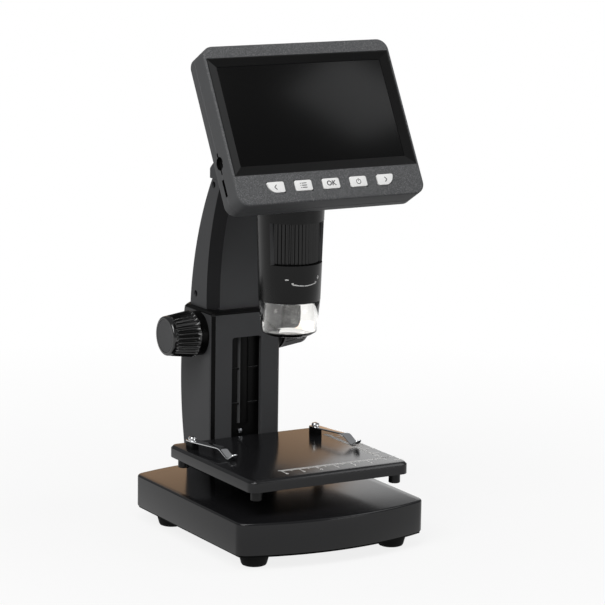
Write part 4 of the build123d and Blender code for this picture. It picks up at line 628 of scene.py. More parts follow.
def make_group(name: str, inputs: dict[str, float], outputs: Sequence[str]) -> bpy.types.NodeTree:
    """Empty shader group with a vector input and float sockets.

    Args:
        name: Name of the group.
        inputs: Default of each float input.
        outputs: Names of the outputs.

    Returns:
        The group, with its input and output nodes.
    """
    tree = bpy.data.node_groups.new(name, "ShaderNodeTree")
    add_socket = tree.interface.new_socket
    add_socket(name="Vector", in_out="INPUT", socket_type="NodeSocketVector")
    for label, value in inputs.items():
        socket = add_socket(name=label, in_out="INPUT", socket_type="NodeSocketFloat")
        socket.default_value = value
    for label in outputs:
        add_socket(name=label, in_out="OUTPUT", socket_type="NodeSocketFloat")
    tree.nodes.new("NodeGroupInput")
    tree.nodes.new("NodeGroupOutput")
    return tree


def moulded_surface_group() -> bpy.types.NodeTree:
    """Spark-eroded grain of a moulding, with slow mottling and faint handling marks.

    Returns:
        The group.
    """
    tree = make_group(
        "MouldedSurface", {"Grain": 1800.0, "Mottle": 40.0}, ("Height", "Tone", "Smudge")
    )
    vector, grain, mottle = tree.nodes[0].outputs[:3]
    fine = noise(tree, vector, grain, 3.0)
    coarse = noise(tree, vector, math_node(tree, "MULTIPLY", grain, 0.37), 2.0)
    height = math_node(tree, "ADD", fine, math_node(tree, "MULTIPLY", coarse, 0.6))
    tone = noise(tree, vector, mottle, 4.0)
    smudge = noise(tree, vector, math_node(tree, "MULTIPLY", mottle, 0.45), 6.0)
    eased = math_node(tree, "MULTIPLY", math_node(tree, "SUBTRACT", smudge, 0.5), 2.0)
    feed(tree, tree.nodes[1], {"Height": height, "Tone": tone, "Smudge": eased})
    return tree


def sparkle_group() -> bpy.types.NodeTree:
    """Bright flakes scattered in a dark paint or plastic.

    Returns:
        The group.
    """
    tree = make_group("Flakes", {"Size": 1500.0, "Amount": 0.5}, ("Flake",))
    vector, size, amount = tree.nodes[0].outputs[:3]
    inputs = {"Randomness": 1.0, "Vector": vector, "Scale": size}
    cells = add_node(tree, "ShaderNodeTexVoronoi", inputs)
    split = add_node(tree, "ShaderNodeSeparateColor", {"Color": cells.outputs["Color"]})
    level = math_node(tree, "SUBTRACT", split.outputs[0], amount)
    lifted = math_node(tree, "MAXIMUM", math_node(tree, "MULTIPLY", level, 2.2), 0.0)
    feed(tree, tree.nodes[1], {"Flake": lifted})
    return tree


@dataclass(frozen=True)
class Finish:
    """One finish: a moulded, painted, metal or clear surface."""

    name: str
    color: Point3
    roughness: float
    metallic: float = 0.0
    specular: float = 0.5
    coat: float = 0.0
    coat_roughness: float = 0.12
    grain: float = 1800.0
    relief: float = 0.02
    mottle: float = 40.0
    tone_swing: float = 0.15
    gloss_swing: float = 0.08
    flakes: float = 0.0
    flake_size: float = 1500.0
    flake_color: Point3 = (0.45, 0.45, 0.46)
    transmission: float = 0.0
    ior: float = 1.5
    glow: float = 0.0

    def build(self, groups: dict[str, bpy.types.NodeTree]) -> bpy.types.Material:
        """Makes the finish's material.

        Args:
            groups: Shared shader groups by name.

        Returns:
            The material.
        """
        material = bpy.data.materials.new(self.name)
        material.use_nodes = True
        tree = material.node_tree
        shader = node_of(tree, "BSDF_PRINCIPLED")
        place = tree.nodes.new("ShaderNodeTexCoord").outputs["Object"]
        surface = tree.nodes.new("ShaderNodeGroup")
        surface.node_tree = groups["surface"]
        feed(tree, surface, {"Vector": place, "Grain": self.grain, "Mottle": self.mottle})
        gloss = math_node(tree, "MULTIPLY", surface.outputs["Smudge"], self.gloss_swing)
        feed(tree, shader, {
            "Metallic": self.metallic,
            "Specular IOR Level": self.specular,
            "Coat Weight": self.coat,
            "Coat Roughness": self.coat_roughness,
            "IOR": self.ior,
            "Transmission Weight": self.transmission,
            "Base Color": self.colour(tree, place, surface, groups["flakes"]),
            "Roughness": math_node(tree, "ADD", gloss, self.roughness),
        })
        if self.relief > 0.0:
            height = surface.outputs["Height"]
            inputs = {"Strength": 1.0, "Distance": self.relief * MM, "Height": height}
            bump = add_node(tree, "ShaderNodeBump", inputs)
            feed(tree, shader, {"Normal": bump.outputs["Normal"]})
        if self.glow > 0.0:
            glow = {"Emission Color": (*self.color, 1.0), "Emission Strength": self.glow}
            feed(tree, shader, glow)
        return material

    def colour(
        self, tree: bpy.types.NodeTree, place: bpy.types.NodeSocket, surface: bpy.types.Node,
        flakes: bpy.types.NodeTree,
    ) -> bpy.types.NodeSocket:
        """Colour with its slow change over the surface and its flakes.

        Args:
            tree: The material's tree.
            place: Object coordinates.
            surface: Node of the surface group.
            flakes: Group of the flakes.

        Returns:
            The colour's socket.
        """
        dark = [c * (1.0 - self.tone_swing) for c in self.color]
        light = [min(1.0, c * (1.0 + self.tone_swing)) for c in self.color]
        tint = mixed(tree, surface.outputs["Tone"], dark, light)
        if self.flakes > 0.0:
            flake = tree.nodes.new("ShaderNodeGroup")
            flake.node_tree = flakes
            amount = 1.0 - self.flakes
            feed(tree, flake, {"Vector": place, "Size": self.flake_size, "Amount": amount})
            tint = mixed(tree, flake.outputs["Flake"], tint, self.flake_color)
        return tint


FINISHES = {finish.name: finish for finish in (
    Finish(
        "base_black", (0.010, 0.010, 0.011), 0.17, specular=0.45, grain=2600.0, relief=0.002,
        gloss_swing=0.05,
    ),
    Finish(
        "column_grey", (0.064, 0.065, 0.068), 0.45, specular=0.2, grain=3000.0, relief=0.006,
        tone_swing=0.06,
    ),
    Finish("arm_black", (0.016, 0.016, 0.017), 0.4, specular=0.1, relief=0.003),
    Finish("trim_black", (0.003, 0.003, 0.003), 0.35, specular=0.08, relief=0.003),
    Finish("slot_black", (0.003, 0.003, 0.003), 0.4, specular=0.12, relief=0.003),
    Finish(
        "head_graphite", (0.088, 0.090, 0.093), 0.6, specular=0.25, grain=3600.0,
        relief=0.006, flakes=0.36, flake_size=3900.0, flake_color=(0.25, 0.25, 0.255),
    ),
    Finish(
        "head_side", (0.096, 0.098, 0.101), 0.5, specular=0.25, grain=3000.0, relief=0.004,
        tone_swing=0.05,
    ),
    Finish(
        "barrel_black", (0.007, 0.007, 0.007), 0.26, specular=0.3, grain=3000.0, relief=0.002,
    ),
    Finish("ring_black", (0.003, 0.003, 0.003), 0.2, specular=0.5, relief=0.002),
    Finish("knob_black", (0.005, 0.005, 0.005), 0.16, specular=0.95, relief=0.0),
    Finish("disc_grey", (0.086, 0.087, 0.089), 0.55, specular=0.25, relief=0.004),
    Finish(
        "foot_rubber", (0.006, 0.006, 0.006), 0.75, specular=0.2, relief=0.02, grain=1500.0,
    ),
    Finish(
        "clip_chrome", (0.83, 0.84, 0.85), 0.1, metallic=1.0, relief=0.0, tone_swing=0.02,
    ),
    Finish("screw_steel", (0.62, 0.62, 0.63), 0.3, metallic=1.0, relief=0.004),
    Finish("drive_steel", (0.55, 0.56, 0.58), 0.25, metallic=1.0, relief=0.002),
    Finish("drive_brass", (0.72, 0.55, 0.25), 0.3, metallic=1.0, relief=0.004),
    Finish("drive_nylon", (0.62, 0.60, 0.55), 0.5, relief=0.01),
    Finish("ballast_iron", (0.16, 0.16, 0.16), 0.6, metallic=1.0, relief=0.05),
    Finish(
        "bezel_gloss", (0.006, 0.006, 0.006), 0.28, specular=0.2, relief=0.001, gloss_swing=0.03,
    ),
    Finish(
        "screen_glass", (0.003, 0.003, 0.003), 0.24, specular=0.17, relief=0.0,
        gloss_swing=0.02, tone_swing=0.1,
    ),
    Finish(
        "lens_glass", (0.9, 0.93, 0.95), 0.02, relief=0.0, transmission=1.0, gloss_swing=0.01,
    ),
    Finish(
        "cap_clear", (1.0, 0.99, 0.975), 0.02, relief=0.0, transmission=1.0, ior=1.47,
        gloss_swing=0.01, tone_swing=0.01,
    ),
    Finish("board_green", (0.02, 0.09, 0.05), 0.4, coat=0.4, relief=0.02),
    Finish("part_grey", (0.55, 0.56, 0.57), 0.35, metallic=1.0, relief=0.005),
    Finish("cell_silver", (0.6, 0.61, 0.62), 0.4, metallic=1.0, relief=0.03),
    Finish("button_white", (0.97, 0.97, 0.96), 0.4, relief=0.002, tone_swing=0.01),
    Finish("icon_grey", (0.07, 0.07, 0.075), 0.5, relief=0.0, tone_swing=0.05),
    Finish("print_white", (0.88, 0.88, 0.87), 0.5, relief=0.0, tone_swing=0.04),
    Finish("led_white", (0.95, 0.72, 0.35), 0.35, relief=0.0, glow=0.15),
)}

OVERRIDES = {
    "base_bottom_plate": "trim_black",
    "shaft_bushes": "trim_black",
    "clip_posts": "trim_black",
    "arm_screws": "slot_black",
}


class Paintbox:
    """Builds each finish once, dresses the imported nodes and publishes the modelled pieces."""

    def __init__(self) -> None:
        """Makes the shared shader groups."""
        self.groups = {"surface": moulded_surface_group(), "flakes": sparkle_group()}
        self.made: dict[str, bpy.types.Material] = {}

    def get(self, name: str) -> bpy.types.Material:
        """Material of a finish, made on first use.

        Args:
            name: Name of the finish.

        Returns:
            The material.
        """
        if name not in self.made:
            self.made[name] = FINISHES[name].build(self.groups)
        return self.made[name]

    def dress_frame(self, frame: dict) -> None:
        """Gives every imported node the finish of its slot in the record, or its override.
        """
        slots = {part["node"]: part["material_slot"] for part in frame["record"]["subparts"]}
        for node, piece in frame["nodes"].items():
            piece.data.materials.clear()
            piece.data.materials.append(self.get(OVERRIDES.get(node, slots[node])))

    def publish(
        self, name: str, bm: BMesh, finish: str, body: Body, node: str = "", slot: str = "",
        crease: float = MOULDED_CREASE, merge: bool = True,
    ) -> bpy.types.Object:
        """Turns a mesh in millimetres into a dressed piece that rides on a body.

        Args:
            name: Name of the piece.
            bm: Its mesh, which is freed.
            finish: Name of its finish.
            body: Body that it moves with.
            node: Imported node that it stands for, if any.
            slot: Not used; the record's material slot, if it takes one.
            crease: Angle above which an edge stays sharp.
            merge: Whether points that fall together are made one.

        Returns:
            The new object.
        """
        bmesh.ops.scale(bm, vec=(MM, MM, MM), verts=bm.verts)
        if merge:
            bmesh.ops.remove_doubles(bm, verts=bm.verts, dist=PIECE_WELD)
            bmesh.ops.dissolve_degenerate(bm, edges=bm.edges, dist=PIECE_WELD)
        piece = mesh_object(name, bm)
        mesh = piece.data
        mesh.shade_smooth()
        mesh.set_sharp_from_angle(angle=math.radians(crease))
        mesh.materials.append(self.get(finish))
        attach(piece, body.value)
        if node:
            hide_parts(node)
        LOG.info("%s: %d faces", name, len(mesh.polygons))
        return piece

    def tint(self, piece: bpy.types.Object, finish: str, test: FaceTest) -> None:
        """Gives a further finish to the faces that pass a test.

        Args:
            piece: The piece.
            finish: Name of the further finish.
            test: Test of a face's centre, in millimetres, and its normal.
        """
        piece.data.materials.append(self.get(finish))
        number = len(piece.data.materials) - 1
        for polygon in piece.data.polygons:
            if test(polygon.center / MM, polygon.normal):
                polygon.material_index = number


@dataclass
class Assembly:
    """A sub-assembly that takes its finishes from one paintbox."""

    paint: Paintbox


# ----------------------------------------------------------------- the stand


@dataclass
class StandBase(Assembly):
    """Bowed base with its rubber feet."""

    front_bow: float = 10.5
    back_bow: float = 9.5
    bow_steps: int = 26
    bowed_length: float = 50.0
    corner_radius: float = 4.0
    edge_radius: float = 1.1
    lower_edge: float = 0.6
    foot_top_radius: float = 8.3
    foot_bottom_radius: float = 6.5
    foot_edge: float = 1.0
    foot_ease: float = 0.3
    foot_swell: float = 0.1
    foot_steps: int = 48
    foot_spots: tuple[Point2, ...] = ((-40.5, -51.0), (40.5, -51.0), (-42.0, 36.0), (42.0, 36.0))

    def bowed_block(self, low: Vector, high: Vector) -> BMesh:
        """Block whose front and back faces bow outwards.

        Args:
            low: Lowest corner of its box, bows included.
            high: Highest corner of its box.

        Returns:
            The block's mesh, with rounded upright corners.
        """
        front, back = low.y + self.front_bow, high.y - self.back_bow
        bm = cuboid((low.x, front, low.z), (high.x, back, high.z))
        soften(bm, self.corner_radius, 6, upright)
        lengthwise = [e for e in bm.edges if along(e, 0) and e.calc_length() > self.bowed_length]
        bmesh.ops.subdivide_edges(bm, edges=lengthwise, cuts=self.bow_steps)
        half = (high.x - low.x) / 2
        middle = (low.y + high.y) / 2
        for vert in bm.verts:
            bow = -self.front_bow if vert.co.y < middle else self.back_bow
            vert.co.y += bow * (1.0 - (vert.co.x / half) ** 2)
        return bm

    def cover(self) -> None:
        """Base cover with softened rims."""
        low, high = node_box("base_cover")
        bm = self.bowed_block(low, high)
        soften(bm, self.edge_radius, 4, rim_at(high.z))
        soften(bm, self.lower_edge, 2, rim_at(low.z))
        self.paint.publish(
            "base_cover_shell", bm, "base_black", Body.STAND, "base_cover", "base_black"
        )

    def feet(self) -> None:
        """Four tapered rubber feet with a soft lower rim."""
        low, high = node_box("rubber_feet")
        bottom, drop = self.foot_bottom_radius, self.foot_edge
        ease = self.foot_ease * drop
        profile = [
            (0.0, low.z), (bottom - drop, low.z), (bottom - ease, low.z + ease),
            (bottom + self.foot_swell, low.z + drop), (self.foot_top_radius, high.z),
            (0.0, high.z),
        ]
        parts = [lathe(profile, self.foot_steps, (x, y, 0)) for x, y in self.foot_spots]
        self.paint.publish(
            "rubber_feet_moulded", joined(parts), "foot_rubber", Body.STAND, "rubber_feet",
            "foot_rubber",
        )

    def build(self) -> None:
        """Builds the base."""
        self.cover()
        self.feet()


@dataclass
class Stage(Assembly):
    """Specimen stage with its printed ruler."""

    corner_radius: float = 4.5
    chamfer: float = 1.3
    rim: float = 0.15
    tongue_half: float = 8.6
    tongue_lap: float = 1.0
    tongue_inset: float = 1.3
    print_depth: float = 0.04
    print_sink: float = 0.01
    line_width: float = 0.42
    base_line_width: float = 0.75
    ruler_length: int = 60
    ruler_front: float = -44.5
    ruler_left: float = -23.0
    ruler_right: float = 37.9
    ruler_end: float = 46.0
    side_ruler_end: float = 14.0
    long_tick: float = 4.6
    middle_tick: float = 3.0
    short_tick: float = 1.7
    numeral_size: float = 3.2
    numeral_gap: float = 2.2
    numeral_weight: float = 0.08
    unit_inset: float = 2.0

    def plate(self) -> None:
        """Stage plate with a chamfered rim, and the tongue that holds it."""
        low, high = node_box("stage_plate")
        back = node_box("column_front_plate")[0].y
        bm = cuboid(low, (high.x, back, high.z))
        soften(bm, self.corner_radius, 7, upright)
        soften(bm, self.chamfer, 1, rim_at(high.z))
        soften(bm, self.rim, 2)
        tongue = cuboid(
            (-self.tongue_half, back - self.tongue_lap, low.z + self.tongue_inset),
            (self.tongue_half, high.y, high.z - self.tongue_inset),
        )
        self.paint.publish(
            "stage_plate_shell", joined([bm, tongue]), "base_black", Body.STAND, "stage_plate",
            "base_black",
        )

    def stroke(self, x0: float, y0: float, x1: float, y1: float, bold: bool = False) -> BMesh:
        """Printed line on the stage's top between two points.

        Args:
            x0: Place of its first end across the stage.
            y0: Place of its first end along the stage.
            x1: Place of its other end across.
            y1: Place of its other end along.
            bold: Whether it is one of the ruler's base lines.

        Returns:
            The line's mesh.
        """
        top = node_box("stage_plate")[1].z
        half = (self.base_line_width if bold else self.line_width) / 2
        low = (min(x0, x1) - half, min(y0, y1) - half, top - self.print_sink)
        high = (max(x0, x1) + half, max(y0, y1) + half, top + self.print_depth)
        return cuboid(low, high)

    def numeral(self, text: str, x: float, y: float) -> BMesh:
        """Printed numeral on the stage's top.

        Args:
            text: What it says.
            x: Place of its middle across the stage.
            y: Place of its middle along the stage.

        Returns:
            The numeral's mesh.
        """
        height = node_box("stage_plate")[1].z + self.print_depth / 2
        bm = lettering(text, self.numeral_size, self.print_depth, self.numeral_weight)
        return shifted(bm, x, y, height)

    def tick_length(self, number: int) -> float:
        """Length of the tick at a millimetre of the ruler.

        Args:
            number: The millimetre.

        Returns:
            The length.
        """
        if number % 10 == 0:
            return self.long_tick
        return self.middle_tick if number % 5 == 0 else self.short_tick

    def ruler(self) -> None:
        """Two-way ruler along the front and the right of the stage."""
        front, right = self.ruler_front, self.ruler_right
        parts = [
            self.stroke(self.ruler_left, front, self.ruler_end, front, bold=True),
            self.stroke(right, front, right, self.side_ruler_end, bold=True),
        ]
        for number in range(self.ruler_length + 1):
            x, y, tick = right - number, front + number, self.tick_length(number)
            parts.append(self.stroke(x, front, x, front - tick))
            if y <= self.side_ruler_end:
                parts.append(self.stroke(right, y, right + tick, y))
        reach = self.long_tick + self.numeral_gap
        for number in range(10, self.ruler_length + 1, 10):
            text, y = str(number // 10), front + number
            parts.append(self.numeral(text, right - number, front - reach))
            if y <= self.side_ruler_end:
                parts.append(self.numeral(text, right + reach, y))
        parts.append(self.numeral("mm", self.ruler_end - self.unit_inset, front - reach))
        self.paint.publish("ruler_print", joined(parts), "print_white", Body.STAND)

    def build(self) -> None:
        """Builds the stage."""
        self.plate()
        self.ruler()


@dataclass
class Column(Assembly):
    """Column with its front plate, its top cap and the guide behind the slot."""

    edge: float = 0.3
    corner_forward: float = 0.55
    corner_sideways: Point2 = (0.55, 0.85)
    plate_face: float = 36.1
    slot_half: float = 8.75
    lap: float = 0.2
    guide_wall: float = 2.4
    rib_half: float = 3.25
    rib_low: float = 51.1
    rib_inset: float = 0.5
    rib_segments: int = 14
    cross_ribs: tuple[float, ...] = (80.6, 61.6)
    cross_rib_height: float = 0.9
    cross_rib_reach: float = 0.9
    # Reach of the painted highlight on the guide's rail and cross ribs.
    worn_front: float = 0.05
    worn_side: float = 0.1
    worn_slope: float = 0.3
    guide_crease: float = 35.0
    screw_place: Point2 = (-1.5, 46.7)
    screw_radius: float = 1.45
    screw_shank: float = 1.3
    screw_dome: tuple[Point2, ...] = ((1.0, 0.0), (1.0, 0.35), (0.85, 0.7), (0.5, 0.94), (0.0, 1.0))
    screw_slot: float = 0.5
    screw_slot_depth: float = 0.7
    screw_slot_reach: float = 3.0
    screw_turn: float = 0.9

    def shell(self, node: str, finish: str, slot: str) -> bpy.types.Object:
        """Publishes an edged copy of one of the column's mouldings.

        Args:
            node: The moulding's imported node.
            finish: Name of its finish.
            slot: The record's material slot.

        Returns:
            The new piece.
        """
        bm = edged(node, self.edge)
        return self.paint.publish(
            node + "_moulding", bm, finish, Body.STAND, node, slot, EDGED_CREASE
        )

    def front_corner(self, centre: Vector, way: Vector) -> bool:
        """Whether a face belongs to a chamfer between the front and a side."""
        corner = faces_corner(way, self.corner_forward, self.corner_sideways)
        return corner and centre.y < self.plate_face

    def guide(self) -> None:
        """Guide plate with a rounded rail and its cross ribs, with a painted highlight on the
        rail's left flank and the ribs' tops.
        """
        low, high = node_box("slide_guide")
        face = self.plate_face
        parts = [cuboid((low.x, face, low.z), high)]
        for side in (-1, 1):
            left, right = sorted((side * high.x, side * (high.x - self.guide_wall)))
            parts.append(cuboid((left, low.y, low.z), (right, high.y, high.z)))
        rail = [(self.rib_half, face + self.lap)]
        for step in range(self.rib_segments + 1):
            turn = math.pi * step / self.rib_segments
            depth = face - (face - low.y - self.rib_inset) * math.sin(turn)
            rail.append((self.rib_half * math.cos(turn), depth))
        rail.append((-self.rib_half, face + self.lap))
        parts.append(prism(rail, self.rib_low, high.z))
        for height in self.cross_ribs:
            foot = height - self.cross_rib_height / 2
            parts.append(cuboid(
                (-self.slot_half, face - self.cross_rib_reach, foot),
                (self.slot_half, face + self.lap, foot + self.cross_rib_height),
            ))
        piece = self.paint.publish(
            "slide_guide_rail", joined(parts), "slot_black", Body.STAND, "slide_guide",
            "barrel_black", self.guide_crease,
        )
        # Painted highlight: the rail's left flank and the cross ribs' tops are given a pale grey
        # that stands in for the light they catch.
        self.paint.tint(piece, "disc_grey", self.worn)

    def worn(self, centre: Vector, way: Vector) -> bool:
        """Whether a face gets the painted highlight: the rail's left flank, which faces the key
        lamp, or the top of a cross rib.

        Args:
            centre: The face's centre.
            way: The face's normal.

        Returns:
            True if it is.
        """
        if centre.y > self.plate_face - self.worn_front:
            return False
        on_rail = abs(centre.x) < self.rib_half + self.worn_side and abs(way.z) < SHARP
        on_cross_rib = any(abs(centre.z - z) < self.cross_rib_height for z in self.cross_ribs)
        return (on_rail and way.x < -self.worn_slope) or (on_cross_rib and way.z > SHARP)

    def guide_screw(self) -> None:
        """Domed, slotted screw at the foot of the guide."""
        low, high = node_box("guide_screw")
        head, foot = self.plate_face - low.y, self.plate_face - high.y
        profile = [(0.0, foot), (self.screw_shank, foot), (self.screw_shank, 0.0)]
        profile += [(self.screw_radius * wide, head * up) for wide, up in self.screw_dome]
        screw = slotted_screw(
            profile, self.screw_slot_reach, self.screw_slot, self.screw_slot_depth
        )
        x, z = self.screw_place
        place = Matrix.Translation((x, self.plate_face, z)) @ Matrix.Rotation(QUARTER_TURN, 4, "X")
        moved(screw, place @ Matrix.Rotation(self.screw_turn, 4, "Z"))
        self.paint.publish(
            "guide_stop_screw", screw, "drive_steel", Body.STAND, "guide_screw", "screw_steel"
        )

    def build(self) -> None:
        """Builds the column."""
        self.shell("column_body", "column_grey", "column_grey")
        plate = self.shell("column_front_plate", "column_grey", "column_grey")
        self.paint.tint(plate, "trim_black", self.front_corner)
        self.shell("column_top_cap", "trim_black", "barrel_black")
        self.guide()
        self.guide_screw()


@dataclass
class Arm(Assembly):
    """Curved arm in two halves, with the neck under the head."""

    edge: float = 0.25
    shortest: float = 1.5
    neck_shortest: float = 0.7
    seam_slack: float = 0.05
    slot_top: float = 112.6
    chamfer_from: float = 10.0
    corner_forward: float = 0.35
    corner_sideways: Point2 = (0.5, 0.9)

    def stays_sharp(self, edge: BMEdge) -> bool:
        """Whether an edge lies on the halves' seam or belongs to the shaft's slot."""
        on_seam = all(abs(vert.co.x) < self.seam_slack for vert in edge.verts)
        return on_seam or all(vert.co.z < self.slot_top for vert in edge.verts)

    def front_corner(self, centre: Vector, way: Vector) -> bool:
        """Whether a face belongs to a chamfer between the front and a side."""
        corner = faces_corner(way, self.corner_forward, self.corner_sideways)
        return corner and abs(centre.x) > self.chamfer_from

    def build(self) -> None:
        """Builds the arm and the neck."""
        for node in ("arm_left_shell", "arm_right_shell"):
            bm = edged(node, self.edge, self.shortest, self.stays_sharp)
            shell = self.paint.publish(
                node + "_moulding", bm, "column_grey", Body.CARRIAGE, node, "column_grey",
                EDGED_CREASE,
            )
            self.paint.tint(shell, "arm_black", self.front_corner)
        neck = edged("neck_bracket", self.edge, self.neck_shortest)
        self.paint.publish(
            "neck_moulding", neck, "column_grey", Body.CARRIAGE, "neck_bracket", "barrel_black",
            EDGED_CREASE,
        )


CLIPS = (
    ("left_clip", Body.LEFT_CLIP, (-39.8, 17.4)),
    ("right_clip", Body.RIGHT_CLIP, (33.7, 16.2)),
)


@dataclass
class SpringClips(Assembly):
    """Bent strips that press a slide down, and the slotted pan screws that they turn on."""

    angle: float = 9.5
    width: float = 5.0
    tip_width: float = 3.6
    thickness: float = 0.6
    tail: float = 3.0
    reach: float = 25.0
    drop_length: float = 7.5
    tip_length: float = 3.6
    tip_rise: float = 3.3
    tip_gap: float = 0.15
    underside: float = 3.9
    rise: float = 0.9
    bend_radius: float = 1.6
    bend_margin: float = 1.0
    corner_radius: float = 1.1
    edge_radius: float = 0.12
    edge_bend: float = 1.0
    strip_crease: float = 25.0
    head_radius: float = 2.1
    head_height: float = 1.8
    head_dome: tuple[Point2, ...] = ((1.0, 0.7), (0.86, 0.22), (0.55, 0.0), (0.0, 0.0))
    slot_width: float = 0.55
    slot_depth: float = 0.6
    slot_margin: float = 1.0
    shank_radius: float = 1.3
    screw_turns: Point2 = (0.6, 1.7)

    def strip(self, node: str, body: Body, pivot: Point2) -> None:
        """Makes one strip by extruding its bent centre line sideways.

        Args:
            node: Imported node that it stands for.
            body: Body that it swings with.
            pivot: Place of its screw on the stage.
        """
        press = self.reach + self.drop_length
        line = [
            (-self.tail, self.underside), (self.tail, self.underside),
            (self.reach, self.underside + self.rise), (press, self.tip_gap),
            (press + self.tip_length, self.tip_gap + self.tip_rise),
        ]
        bm = bmesh.new()
        verts = [bm.verts.new((-self.width / 2, s, z)) for s, z in line]
        edges = [bm.edges.new(pair) for pair in zip(verts, verts[1:])]
        sides = bmesh.ops.extrude_edge_only(bm, edges=edges)["geom"]
        far = [item for item in sides if isinstance(item, BMVert)]
        bmesh.ops.translate(bm, vec=(self.width, 0, 0), verts=far)
        for vert in bm.verts:
            if vert.co.y > press:
                vert.co.x *= self.tip_width / self.width
        low, high = self.tail + self.bend_margin, press + self.bend_margin
        bends = [e for e in bm.edges if along(e, 0) and low < e.verts[0].co.y < high]
        bevelled(bm, bends, self.bend_radius, 5)
        corners = [vert for vert in bm.verts if len(vert.link_edges) == 2]
        bevelled(bm, corners, self.corner_radius, 4, "VERTICES")
        bmesh.ops.recalc_face_normals(bm, faces=bm.faces)
        if sum(face.normal.z for face in bm.faces) < 0:
            bmesh.ops.reverse_faces(bm, faces=bm.faces)
        bmesh.ops.solidify(bm, geom=bm.faces[:], thickness=-self.thickness)
        bmesh.ops.recalc_face_normals(bm, faces=bm.faces)
        soften(bm, self.edge_radius, 2, lambda e: e.calc_face_angle(0.0) > self.edge_bend)
        turn = Matrix.Rotation(math.radians(self.angle) + math.pi, 4, "Z")
        moved(bm, Matrix.Translation((*pivot, node_box("stage_plate")[1].z)) @ turn)
        self.paint.publish(
            node + "_strip", bm, "clip_chrome", body, node, "clip_chrome", self.strip_crease
        )

    def screws(self) -> None:
        """Makes both screws."""
        low, high = node_box("clip_screws")
        head_low = high.z - self.head_height
        profile = [
            (0.0, low.z), (self.shank_radius, low.z), (self.shank_radius, head_low),
            (self.head_radius, head_low),
        ]
        profile += [(self.head_radius * wide, high.z - down) for wide, down in self.head_dome]
        reach = self.head_radius + self.slot_margin
        parts = []
        for (_, _, pivot), turn in zip(CLIPS, self.screw_turns):
            screw = slotted_screw(profile, reach, self.slot_width, self.slot_depth)
            moved(screw, Matrix.Translation((*pivot, 0)) @ Matrix.Rotation(turn, 4, "Z"))
            parts.append(screw)
        self.paint.publish(
            "clip_pivot_screws", joined(parts), "clip_chrome", Body.STAND, "clip_screws",
            "clip_chrome",
        )

    def build(self) -> None:
        """Builds both clips and their screws."""
        for node, body, pivot in CLIPS:
            self.strip(node, body, pivot)
        self.screws()


